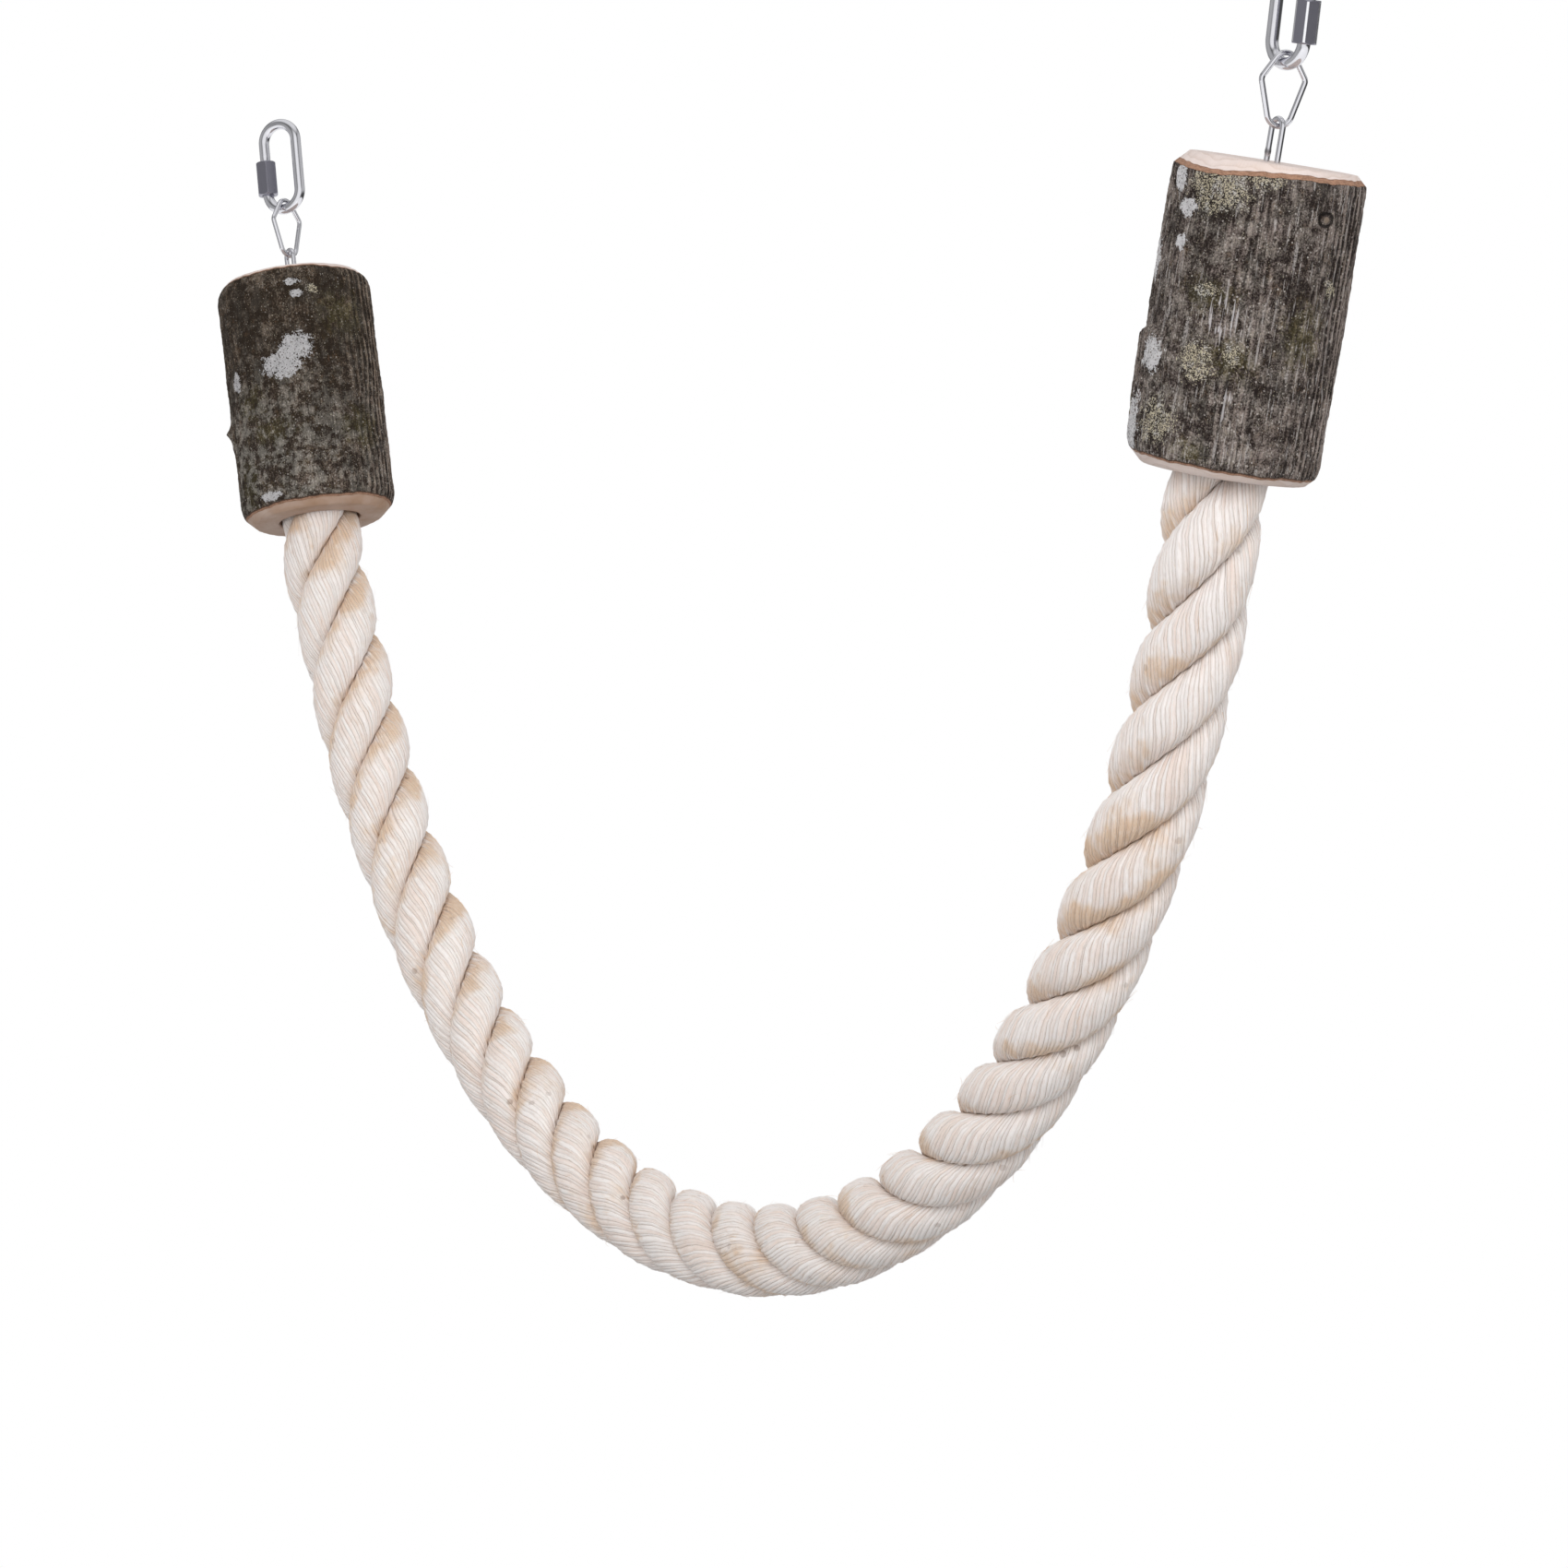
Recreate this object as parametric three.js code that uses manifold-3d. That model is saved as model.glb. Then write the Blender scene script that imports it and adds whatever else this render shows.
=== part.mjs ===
// Rope swing for a parrot or other large cage bird.
//
// A thick three-strand rope hangs in a U between two short lengths of branch with
// their bark on. Each branch carries a narrow link that stands in its top, a
// six-sided link hangs that from a quick link, and the quick link closes round a
// bar of the cage with a threaded sleeve.
//
// Millimetres, +Z up. The two hanging points lie on the X axis, and the origin is
// midway between them, where the cage's bar touches the inside of each quick link.

import * as THREE from "three";
import { mergeVertices } from "three/addons/utils/BufferGeometryUtils.js";
import Module from "manifold-3d";

// Clearances
const fitGap = 0.3; // between pieces that touch on the real swing
const linkSeat = 0.5; // between two links that bear on each other

// Posture of the hanging swing, in degrees: the stiff rope turns each branch its own way
const lineLean = 10.5; // that both lines of links lean outwards at the top
const branchLean = { left: 12.9, right: 10.7 }; // that the branches lean outwards
const branchTip = { left: -0.3, right: 3.3 }; // that the branches' tops tip to the back
const ropeTip = 2.1; // that the rope's plane tips to the back at its lowest point
const mouthHalfSpan = 347; // half of the way between the branches' lower ends

// Rope: its route from the lowest point of the U to the branch's lower end, on the
// right half, as distances along X and up from the lowest point of its centreline
const ropeRoute = [
  [0, 0],
  [62, 6],
  [123, 25],
  [178, 55],
  [227, 95],
  [268, 142],
  [302, 196],
  [327, 251],
];
const mouthHeight = 313; // of the branch's lower end above the route's lowest point
const ropeLead = 25; // length of rope that runs straight before it enters the branch
const ropeDiameter = 37; // mean diameter of the laid rope
const ropeSocketDepth = 48; // depth that the rope is set into the branch
const ropeSides = 12;
const ropeSteps = 52;

// Branches
const logLength = 115;
const logDiameter = 72; // over the bark
const barkThickness = 2.2;
const endChamfer = 3; // sanded edge of the wood, left free of bark
const barkEdge = 1.6; // length over which the bark's own edge is sanded away
const logOval = 0.7; // how far the section swells and narrows from a true circle
const logLobes = 0.5; // depth of its three broad lobes
const logSides = 48;
const logRings = 9;

// Stub of a twig on the left branch
const knotDrop = 73; // below the branch's top
const knotAngle = 237; // degrees round the branch, from +X
const knotRadius = 6;
const knotHeight = 3.2; // beyond the bark

// Torn edge in the bark of the right branch: the bark is thicker below it
const ledgeDrop = 66; // below the branch's top
const ledgeAngle = 237;
const ledgeSpread = 34; // degrees to each side over which the step fades out
const ledgeStep = 1.6;

// Narrow welded link in a branch's top
const eyeWire = 2.2;
const eyeWidth = 8.6; // over the wire
const eyeLength = 38; // over the wire
const eyeExposed = 17; // height that stands out of the wood

// Six-sided link
const hexWire = 2.2;
const hexWidth = 19.4; // over the wire
const hexLength = 29; // over the wire
const hexShoulder = 11.2; // of its widest corners below its top
const hexCrownRadius = 4.6; // of the centreline at its top
const hexFootRadius = 5; // of the centreline at its bottom
const hexCornerRadius = 2.6; // of the centreline at its widest corners

// Quick link
const quickWire = 5;
const quickLength = 46; // over the wire
const quickLegSpacing = 17; // between the legs' centres
const threadStub = 1.5; // length of thread on the lower end, above the bend
const threadGap = 6.3; // between the two threaded ends

// Threaded sleeve that closes the quick link
const sleeveLength = 16;
const sleeveFlats = 9; // across its flats
const sleeveDrop = 0.5; // how far the closed sleeve reaches past the start of the bend
const sleeveChamfer = 0.8;

// Turn of each link about its own line, in degrees from the swing's plane
const quickTurn = { left: 32, right: 5 };
const hexTurn = { left: 107, right: 76 };

// Cross pin that holds the narrow link, and screw that holds the rope, both set
// from the back of the branch
const pinDiameter = 3.4;
const pinBlindDepth = 14; // how far the pin reaches past the branch's middle
const pinRecess = 1.5; // of the pin's end below the bark
const screwDiameter = 4;
const screwReach = 12; // how far the screw's tip reaches past the branch's middle
const screwTip = 5;
const screwHeadDiameter = 8.4;
const screwHeadHeight = 3;
const screwRecess = 1; // of the screw's head below the bark
const screwRise = 24; // of the screw above the branch's lower end

// Facets of the round pieces
const wireSides = 12;
const thinWireSides = 10;
const roundSides = 24;
const bendStep = Math.PI / 9; // of an outline's arcs

const steel = { color: 0xb9bcc1, roughness: 0.25, metalness: 1 };
const sleeveSteel = { color: 0x8f9298, roughness: 0.35, metalness: 1 };
const barkFinish = { color: 0x5f584f, roughness: 0.95, metalness: 0 };
const woodFinish = { color: 0xd9bda4, roughness: 0.75, metalness: 0 };
const ropeFinish = { color: 0xe8decd, roughness: 0.9, metalness: 0 };

const wasm = await Module();
wasm.setup();

const radians = THREE.MathUtils.degToRad;

// Places along a hanging line, measured from the hanging point, negative downwards
const quickTop = quickWire / 2;
const quickBottom = quickTop - (quickLength - quickWire);
const hexTop = quickBottom + (quickWire + hexWire) / 2 + linkSeat;
const hexBottom = hexTop - (hexLength - hexWire);
const eyeTop = hexBottom + (hexWire + eyeWire) / 2 + linkSeat;
const eyeBottom = eyeTop - (eyeLength - eyeWire);
const logTop = eyeTop + eyeWire / 2 - eyeExposed;
const logBottom = logTop - logLength;

// How far inwards of its hanging point each branch's lower end lies. A branch turns
// about the narrow link's top, where it hangs in the six-sided link.
function inwards(side) {
  const ownRun = Math.sin(radians(branchLean[side])) * Math.cos(radians(branchTip[side]));
  return -eyeTop * Math.sin(radians(lineLean)) + (eyeTop - logBottom) * ownRun;
}
const hangHalfSpan = mouthHalfSpan + (inwards("left") + inwards("right")) / 2;

const woodRadius = logDiameter / 2 - barkThickness - fitGap;

// A solid from a closed mesh, and a mesh's geometry from a solid
function toSolid(geometry) {
  const bare = geometry.clone();
  bare.deleteAttribute("normal");
  bare.deleteAttribute("uv");
  const merged = mergeVertices(bare, 1e-5);
  const vertProperties = new Float32Array(merged.getAttribute("position").array);
  const triVerts = new Uint32Array(merged.getIndex().array);
  return new wasm.Manifold(new wasm.Mesh({ numProp: 3, vertProperties, triVerts }));
}

function toGeometry(solid) {
  const mesh = solid.getMesh();
  const geometry = new THREE.BufferGeometry();
  geometry.setAttribute("position", new THREE.BufferAttribute(new Float32Array(mesh.vertProperties), 3));
  geometry.setIndex(new THREE.BufferAttribute(new Uint32Array(mesh.triVerts), 1));
  geometry.computeVertexNormals();
  return geometry;
}

// Geometry whose triangles join the points of one ring to the next, with a fan over
// each end unless the rings come round to the first again
function joinRings(rings, closed) {
  const sides = rings[0].length;
  const points = rings.flat();
  const index = [];
  const spans = closed ? rings.length : rings.length - 1;
  for (let i = 0; i < spans; i++) {
    const near = i * sides;
    const far = ((i + 1) % rings.length) * sides;
    for (let j = 0; j < sides; j++) {
      const k = (j + 1) % sides;
      index.push(near + j, near + k, far + k);
      index.push(near + j, far + k, far + j);
    }
  }
  if (!closed) {
    const last = (rings.length - 1) * sides;
    for (const [base, first, second] of [[0, 1, 0], [last, 0, 1]]) {
      const middle = points.length;
      const centre = new THREE.Vector3();
      for (let j = 0; j < sides; j++) centre.addScaledVector(points[base + j], 1 / sides);
      points.push(centre);
      for (let j = 0; j < sides; j++) {
        const pair = [base + j, base + ((j + 1) % sides)];
        index.push(middle, pair[first], pair[second]);
      }
    }
  }
  const geometry = new THREE.BufferGeometry().setFromPoints(points);
  geometry.setIndex(index);
  geometry.computeVertexNormals();
  return geometry;
}

// Outline of a belt drawn tight round circles, given in turn against the clock:
// arcs round the circles, and the straight runs between them left without points
function beltOutline(circles) {
  const count = circles.length;
  const leave = circles.map((circle, i) => {
    const next = circles[(i + 1) % count];
    const dx = next.x - circle.x;
    const dz = next.z - circle.z;
    return Math.atan2(dz, dx) - Math.acos((circle.r - next.r) / Math.hypot(dx, dz));
  });
  return circles.map((circle, i) => {
    const start = leave[(i + count - 1) % count];
    const turn = THREE.MathUtils.euclideanModulo(leave[i] - start, 2 * Math.PI);
    const steps = Math.max(2, Math.round(turn / bendStep));
    return Array.from({ length: steps + 1 }, (_, k) => {
      const angle = start + (turn * k) / steps;
      return [circle.x + circle.r * Math.cos(angle), circle.z + circle.r * Math.sin(angle)];
    });
  });
}

// Round wire along an outline in the XZ plane
function wire(outline, diameter, sides, closed) {
  const count = outline.length;
  const rings = outline.map(([x, z], i) => {
    const before = outline[closed ? (i + count - 1) % count : Math.max(i - 1, 0)];
    const after = outline[closed ? (i + 1) % count : Math.min(i + 1, count - 1)];
    const along = new THREE.Vector2(after[0] - before[0], after[1] - before[1]).normalize();
    return Array.from({ length: sides }, (_, j) => {
      const angle = (2 * Math.PI * j) / sides;
      const out = (diameter / 2) * Math.cos(angle);
      const across = (diameter / 2) * Math.sin(angle);
      return new THREE.Vector3(x + out * along.y, across, z - out * along.x);
    });
  });
  return joinRings(rings, closed);
}

// Round bar along the Z axis between two heights
function bar(diameter, low, high, sides = roundSides) {
  const geometry = new THREE.CylinderGeometry(diameter / 2, diameter / 2, high - low, sides);
  geometry.rotateX(Math.PI / 2);
  geometry.translate(0, 0, (low + high) / 2);
  return geometry;
}

// Link that stays closed: two semicircles and two straight legs
function ovalLink(wireDiameter, width, top, bottom) {
  const r = (width - wireDiameter) / 2;
  const arcs = beltOutline([
    { x: 0, z: bottom + r, r },
    { x: 0, z: top - r, r },
  ]);
  return wire(arcs.flat(), wireDiameter, thinWireSides, true);
}

// Six-sided link: a rounded crown and foot, and its widest corners above the middle
function hexLink() {
  const shoulder = hexTop + hexWire / 2 - hexShoulder;
  const side = (hexWidth - hexWire) / 2 - hexCornerRadius;
  const arcs = beltOutline([
    { x: 0, z: hexBottom + hexFootRadius, r: hexFootRadius },
    { x: side, z: shoulder, r: hexCornerRadius },
    { x: 0, z: hexTop - hexCrownRadius, r: hexCrownRadius },
    { x: -side, z: shoulder, r: hexCornerRadius },
  ]);
  return wire(arcs.flat(), hexWire, thinWireSides, true);
}

// Quick link's body: the same oval, cut open in the leg on the +X side
const legX = quickLegSpacing / 2;
const bendStart = quickBottom + legX;
const stubEnd = bendStart + threadStub;
function quickLinkBody() {
  const [foot, crown] = beltOutline([
    { x: 0, z: quickBottom + legX, r: legX },
    { x: 0, z: quickTop - legX, r: legX },
  ]);
  const open = [[legX, stubEnd + threadGap], ...crown, ...foot, [legX, stubEnd]];
  return wire(open, quickWire, wireSides, false);
}

// Sleeve: six flats, chamfered at both ends, bored for the threaded leg
function sleeve() {
  const low = bendStart - sleeveDrop;
  const high = low + sleeveLength;
  const corner = sleeveFlats / Math.sqrt(3);
  const flats = bar(2 * corner, low, high, 6);
  const neck = sleeveFlats / 2;
  const turned = new THREE.LatheGeometry(
    [
      new THREE.Vector2(0, low),
      new THREE.Vector2(neck, low),
      new THREE.Vector2(corner, low + sleeveChamfer),
      new THREE.Vector2(corner, high - sleeveChamfer),
      new THREE.Vector2(neck, high),
      new THREE.Vector2(0, high),
    ],
    roundSides,
  );
  turned.rotateX(Math.PI / 2);
  const bore = bar(quickWire + 2 * fitGap, low - 1, high + 1);
  const solid = toSolid(flats).intersect(toSolid(turned)).subtract(toSolid(bore));
  const geometry = toGeometry(solid);
  geometry.translate(legX, 0, 0);
  return geometry;
}

// Solid of the branch's own section between heights, from [height, inset] pairs:
// every ring follows the wood's outline, drawn in by its inset
function logLoft(stations, phase, extra = () => 0) {
  const rings = stations.map(([z, inset]) =>
    Array.from({ length: logSides }, (_, j) => {
      const angle = (2 * Math.PI * j) / logSides;
      const oval = logOval * Math.cos(2 * angle + phase);
      const lobes = logLobes * Math.cos(3 * angle - 2 * phase);
      const radius = woodRadius + oval + lobes - inset + extra(angle, z);
      return new THREE.Vector3(radius * Math.cos(angle), radius * Math.sin(angle), z);
    }),
  );
  return toSolid(joinRings(rings, false));
}

// Hole along Y at a height, from a depth past the branch's middle to beyond its back
function backHole(diameter, depth, z) {
  const hole = bar(diameter, -depth, logDiameter);
  hole.rotateX(-Math.PI / 2);
  hole.translate(0, 0, z);
  return toSolid(hole);
}

const pinZ = eyeBottom + (eyeWire + pinDiameter) / 2 + fitGap;
const screwZ = logBottom + screwRise;
const backOfBark = logDiameter / 2;
const screwHeadFace = backOfBark - screwRecess;
const screwHeadRoot = screwHeadFace - screwHeadHeight;
const screwRim = 0.6; // height of the head's plain rim

function wood(phase) {
  const solid = logLoft(
    [
      [logBottom, endChamfer],
      [logBottom + endChamfer, 0],
      [logTop - endChamfer, 0],
      [logTop, endChamfer],
    ],
    phase,
  );
  const ropeSocket = bar(ropeDiameter + 2 * fitGap, logBottom - 1, logBottom + ropeSocketDepth + fitGap);
  const slotBottom = eyeBottom - eyeWire / 2 - fitGap;
  const slotDepth = logTop + 1 - slotBottom;
  const eyeSlot = new THREE.BoxGeometry(eyeWidth + 2 * fitGap, eyeWire + 2 * fitGap, slotDepth);
  eyeSlot.translate(0, 0, slotBottom + slotDepth / 2);
  return solid
    .subtract(toSolid(ropeSocket))
    .subtract(toSolid(eyeSlot))
    .subtract(backHole(pinDiameter + 2 * fitGap, pinBlindDepth + fitGap, pinZ))
    .subtract(backHole(screwDiameter + 2 * fitGap, screwReach + fitGap, screwZ))
    .subtract(backHole(screwHeadDiameter + 2 * fitGap, -screwHeadRoot + fitGap, screwZ));
}

// Bark: a sleeve round the wood, thinner at its sanded edges
function bark(phase, extra, addOn) {
  const low = logBottom + endChamfer + fitGap;
  const high = logTop - endChamfer - fitGap;
  const outside = -(fitGap + barkThickness);
  const edge = -(fitGap + barkThickness / 3);
  const stations = [[low, edge]];
  for (let i = 0; i <= logRings; i++) {
    const z = THREE.MathUtils.lerp(low + barkEdge, high - barkEdge, i / logRings);
    stations.push([z, outside]);
  }
  stations.push([high, edge]);
  const inside = [
    [low - 1, -fitGap],
    [high + 1, -fitGap],
  ];
  let solid = logLoft(stations, phase, extra);
  if (addOn) {
    solid = solid.add(addOn);
  }
  return solid
    .subtract(logLoft(inside, phase))
    .subtract(backHole(pinDiameter + 2 * fitGap, 0, pinZ))
    .subtract(backHole(screwHeadDiameter + 2 * fitGap, 0, screwZ));
}

// Stub of a twig: a low rounded cone that stands out of the bark
function knot() {
  const base = woodRadius + fitGap + barkThickness / 2;
  const tip = logDiameter / 2 + knotHeight;
  const cone = new THREE.LatheGeometry(
    [
      new THREE.Vector2(0, base),
      new THREE.Vector2(knotRadius, base),
      new THREE.Vector2(knotRadius * 0.55, (base + tip) / 2 + 0.4),
      new THREE.Vector2(knotRadius * 0.3, tip - 0.5),
      new THREE.Vector2(0, tip),
    ],
    roundSides / 2,
  );
  cone.rotateZ(-Math.PI / 2);
  cone.rotateZ(radians(knotAngle));
  cone.translate(0, 0, logTop - knotDrop);
  return toSolid(cone);
}

// Extra bark below the torn edge, fading out to both sides and towards the end
function ledge(angle, z) {
  const off = THREE.MathUtils.euclideanModulo(angle - radians(ledgeAngle) + Math.PI, 2 * Math.PI) - Math.PI;
  const sideways = Math.max(0, 1 - Math.abs(off) / radians(ledgeSpread));
  const below = logTop - ledgeDrop - z;
  const downwards = below < 0 ? 0 : Math.max(0, 1 - below / (logLength - ledgeDrop));
  return ledgeStep * sideways * downwards;
}

// Cross pin: a plain steel pin with both ends slightly chamfered
function pin() {
  const low = -pinBlindDepth;
  const high = backOfBark - pinRecess;
  const chamfer = pinDiameter / 8;
  return new THREE.LatheGeometry(
    [
      new THREE.Vector2(0, low),
      new THREE.Vector2(pinDiameter / 2 - chamfer, low),
      new THREE.Vector2(pinDiameter / 2, low + chamfer),
      new THREE.Vector2(pinDiameter / 2, high - chamfer),
      new THREE.Vector2(pinDiameter / 2 - chamfer, high),
      new THREE.Vector2(0, high),
    ],
    roundSides / 2,
  );
}

// Screw: a countersunk head, a shank and a pointed tip, along the Y axis
function screw() {
  return new THREE.LatheGeometry(
    [
      new THREE.Vector2(0, -screwReach),
      new THREE.Vector2(screwDiameter / 2, -screwReach + screwTip),
      new THREE.Vector2(screwDiameter / 2, screwHeadRoot),
      new THREE.Vector2(screwHeadDiameter / 2, screwHeadFace - screwRim),
      new THREE.Vector2(screwHeadDiameter / 2, screwHeadFace),
      new THREE.Vector2(0, screwHeadFace),
    ],
    roundSides / 2,
  );
}

// The rope's whole route, from the bottom of one socket to that of the other. Its free
// part is the route above, hung from the line between the branches' lower ends.
function ropeCurve(leftBranch, rightBranch) {
  const along = (branch, distance) =>
    branch.localToWorld(new THREE.Vector3(0, 0, logBottom + distance));
  const fall = new THREE.Vector3(0, Math.sin(radians(ropeTip)), -Math.cos(radians(ropeTip)));
  const hung = (x, z) => {
    const share = (x + mouthHalfSpan) / (2 * mouthHalfSpan);
    return along(leftBranch, 0)
      .lerp(along(rightBranch, 0), share)
      .addScaledVector(fall, mouthHeight - z);
  };
  const held = (branch) =>
    [-ropeLead, 0, ropeSocketDepth / 2, ropeSocketDepth].map((d) => along(branch, d));
  const toLeft = ropeRoute.slice(1).map(([x, z]) => hung(-x, z));
  const toRight = ropeRoute.map(([x, z]) => hung(x, z));
  const left = [...toLeft, ...held(leftBranch)].reverse();
  return new THREE.CatmullRomCurve3([...left, ...toRight, ...held(rightBranch)]);
}

function rope(route, screwCuts) {
  const section = new THREE.Shape();
  for (let j = 0; j < ropeSides; j++) {
    const angle = (2 * Math.PI * j) / ropeSides;
    const point = [(ropeDiameter / 2) * Math.cos(angle), (ropeDiameter / 2) * Math.sin(angle)];
    if (j === 0) {
      section.moveTo(...point);
    } else {
      section.lineTo(...point);
    }
  }
  section.closePath();
  const tube = new THREE.ExtrudeGeometry(section, { steps: ropeSteps, extrudePath: route });
  return screwCuts.reduce((solid, cut) => solid.subtract(cut), toSolid(tube));
}

function piece(name, geometry, finish) {
  const mesh = new THREE.Mesh(geometry, new THREE.MeshStandardMaterial(finish));
  mesh.name = name;
  return mesh;
}

// Everything that hangs from one point: the links in a group whose +Z runs up their
// line, and the branch in one of its own, so the places above are heights in both.
// The sleeve sits on the outer leg on both sides.
function hangingLine(side) {
  const outward = side === "left" ? -1 : 1;
  const phase = side === "left" ? 0.6 : 2.1;
  const line = new THREE.Group();
  line.position.x = outward * hangHalfSpan;
  line.rotation.y = outward * radians(lineLean);

  const quick = new THREE.Group();
  quick.rotation.z = radians(quickTurn[side]) + (outward < 0 ? Math.PI : 0);
  quick.add(piece(`quick_link_${side}`, quickLinkBody(), steel));
  quick.add(piece(`quick_link_${side}_sleeve`, sleeve(), sleeveSteel));
  line.add(quick);

  const hex = piece(`hex_link_${side}`, hexLink(), steel);
  hex.rotation.z = radians(hexTurn[side]);
  line.add(hex);

  const turned = new THREE.Group();
  const ownLean = outward * radians(branchLean[side] - lineLean);
  turned.position.z = eyeTop;
  turned.rotation.set(-radians(branchTip[side]), ownLean, 0, "YXZ");
  line.add(turned);
  const branch = new THREE.Group();
  branch.position.z = -eyeTop;
  turned.add(branch);

  branch.add(piece(`eye_link_${side}`, ovalLink(eyeWire, eyeWidth, eyeTop, eyeBottom), steel));
  branch.add(piece(`log_${side}_wood`, toGeometry(wood(phase)), woodFinish));

  const barkSolid = side === "left" ? bark(phase, undefined, knot()) : bark(phase, ledge);
  branch.add(piece(`log_${side}_bark`, toGeometry(barkSolid), barkFinish));

  const crossPin = piece(`link_pin_${side}`, pin(), steel);
  crossPin.position.z = pinZ;
  branch.add(crossPin);

  const ropeScrew = piece(`rope_screw_${side}`, screw(), steel);
  ropeScrew.position.z = screwZ;
  branch.add(ropeScrew);
  return { line, branch };
}

const swing = new THREE.Group();
const lines = ["left", "right"].map(hangingLine);
const branches = lines.map(({ branch }) => branch);
swing.add(...lines.map(({ line }) => line));
swing.updateMatrixWorld(true);

// The screws' holes in the rope, brought from each branch's frame to the swing's
const ropeCuts = branches.map((branch) => {
  const hole = bar(screwDiameter + 2 * fitGap, -screwReach - fitGap, logDiameter);
  hole.rotateX(-Math.PI / 2);
  hole.translate(0, 0, screwZ);
  hole.applyMatrix4(branch.matrixWorld);
  return toSolid(hole);
});
swing.add(piece("rope", toGeometry(rope(ropeCurve(...branches), ropeCuts)), ropeFinish));

export default swing;
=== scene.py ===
"""Bird rope swing: a laid rope between two branches, and the links that it hangs by."""

import math

import bmesh
import bpy
import numpy as np
from mathutils import Matrix, Vector, noise


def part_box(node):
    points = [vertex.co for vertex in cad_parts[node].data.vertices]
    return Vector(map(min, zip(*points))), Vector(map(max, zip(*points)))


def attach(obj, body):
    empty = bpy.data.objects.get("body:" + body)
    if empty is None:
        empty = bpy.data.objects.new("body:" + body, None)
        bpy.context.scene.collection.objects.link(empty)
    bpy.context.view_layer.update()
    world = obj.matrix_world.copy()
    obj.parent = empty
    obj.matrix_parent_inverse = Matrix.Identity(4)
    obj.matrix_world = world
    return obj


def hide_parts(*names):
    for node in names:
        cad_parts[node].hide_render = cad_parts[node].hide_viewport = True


bl_info = {
    "name": "Bird rope swing",
    "version": (1, 0, 0),
    "blender": (4, 5, 0),
    "location": "View3D > Sidebar > Swing",
    "description": "A laid rope between two branches with their bark on, and its links",
    "category": "Object",
}

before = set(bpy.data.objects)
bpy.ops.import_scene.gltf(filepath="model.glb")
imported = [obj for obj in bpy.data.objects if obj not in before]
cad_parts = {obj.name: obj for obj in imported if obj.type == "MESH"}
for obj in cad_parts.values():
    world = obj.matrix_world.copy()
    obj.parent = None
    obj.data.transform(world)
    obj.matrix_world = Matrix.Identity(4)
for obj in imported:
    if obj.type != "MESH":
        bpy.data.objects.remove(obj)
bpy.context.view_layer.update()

MM = 0.001
TO_METRES = Matrix.Scale(MM, 4)

# Sizes and places of the solids, in millimetres and degrees, so that each piece sits
# where its solid does. The stiff rope turns each branch its own way.
OUTWARD = {"left": -1, "right": 1}
LINE_LEAN = 10.5
BRANCH_LEAN = {"left": 12.9, "right": 10.7}
BRANCH_TIP = {"left": -0.3, "right": 3.3}
ROPE_TIP = 2.1
FIT_GAP = 0.3
LINK_SEAT = 0.5

# The rope's centreline between the branches, as distances from the middle and heights
# above its lowest point, and how deep the rope is set and shown in the branches
MOUTH_HALF_SPAN = 347.0
MOUTH_HEIGHT = 313.0
ROUTE = [(0, 0), (62, 6), (123, 25), (178, 55), (227, 95), (268, 142), (302, 196), (327, 251)]
ROPE_LEAD = 25.0
SOCKET_DEPTH = 48.0

# How each link and sleeve is turned about its line, how worn the sleeves are, which rounds their
# corners and on the worn one paints a highlight along them, and where each branch's outline is widest
QUICK_TURN = {"left": 32 + 180, "right": 5}
SLEEVE_TURN = {"left": 30, "right": -15}
SLEEVE_WEAR_AND_HIGHLIGHT = {"left": 0.2, "right": 1.0}
HEX_TURN = {"left": 107, "right": 76}
SECTION_PHASE = {"left": 0.6, "right": 2.1}

# The quick links' gap and threads, and the narrow links' weld above the wood
THREAD_GAP = 6.3
THREAD_STUB = 1.5
THREAD_LENGTH = 8.4
THREAD_DEPTH = 0.4
WIRE_CHAMFER = 0.5
WELD_RISE = 3.6

# The pins and screws: their reach past the branch's axis, their depth below the bark
# at the back, and the screws' height above the branch's lower end
PIN_REACH = 14.0
PIN_SUNK = 1.5
SCREW_REACH = 12.0
SCREW_SUNK = 1.0
SCREW_RISE = 24.0
SCREW_TIP = 5.0
SCREW_CONE = 3.0
SCREW_PITCH = 1.8

# Where the twig stub, the torn ledge and the knot lie: angle round the branch in
# degrees, and depth below its top
STUB = (237, 69)
LEDGE = (237, 66)
KNOT = (2.2, 17)

# Length along the rope for one unit of its fibre's pattern
PATTERN_STEP = 2.1

# Rings of points across the bark's thickness at each of its ends
RIM_RINGS = 5

# Where a groove between two strands lies at the rope's lowest point, as an angle
# round the rope from its upper side
GROOVE_ANGLE = 3.2048


def linear(red, green, blue):
    """A colour as seen on a screen, 0 to 255, in the linear values that light adds up in."""
    parts = [c / 255 for c in (red, green, blue)]
    return tuple(c / 12.92 if c <= 0.04045 else ((c + 0.055) / 1.055) ** 2.4 for c in parts)


def size(name, description, millimetres):
    """A length that a user may change."""
    return bpy.props.FloatProperty(
        name=name,
        description=description,
        default=millimetres * MM,
        min=0.0,
        precision=4,
        subtype="DISTANCE",
        unit="LENGTH",
    )


def tint(name, description, red, green, blue):
    """A colour that a user may change."""
    return bpy.props.FloatVectorProperty(
        name=name,
        description=description,
        default=linear(red, green, blue),
        min=0.0,
        max=1.0,
        size=3,
        subtype="COLOR",
    )


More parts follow.
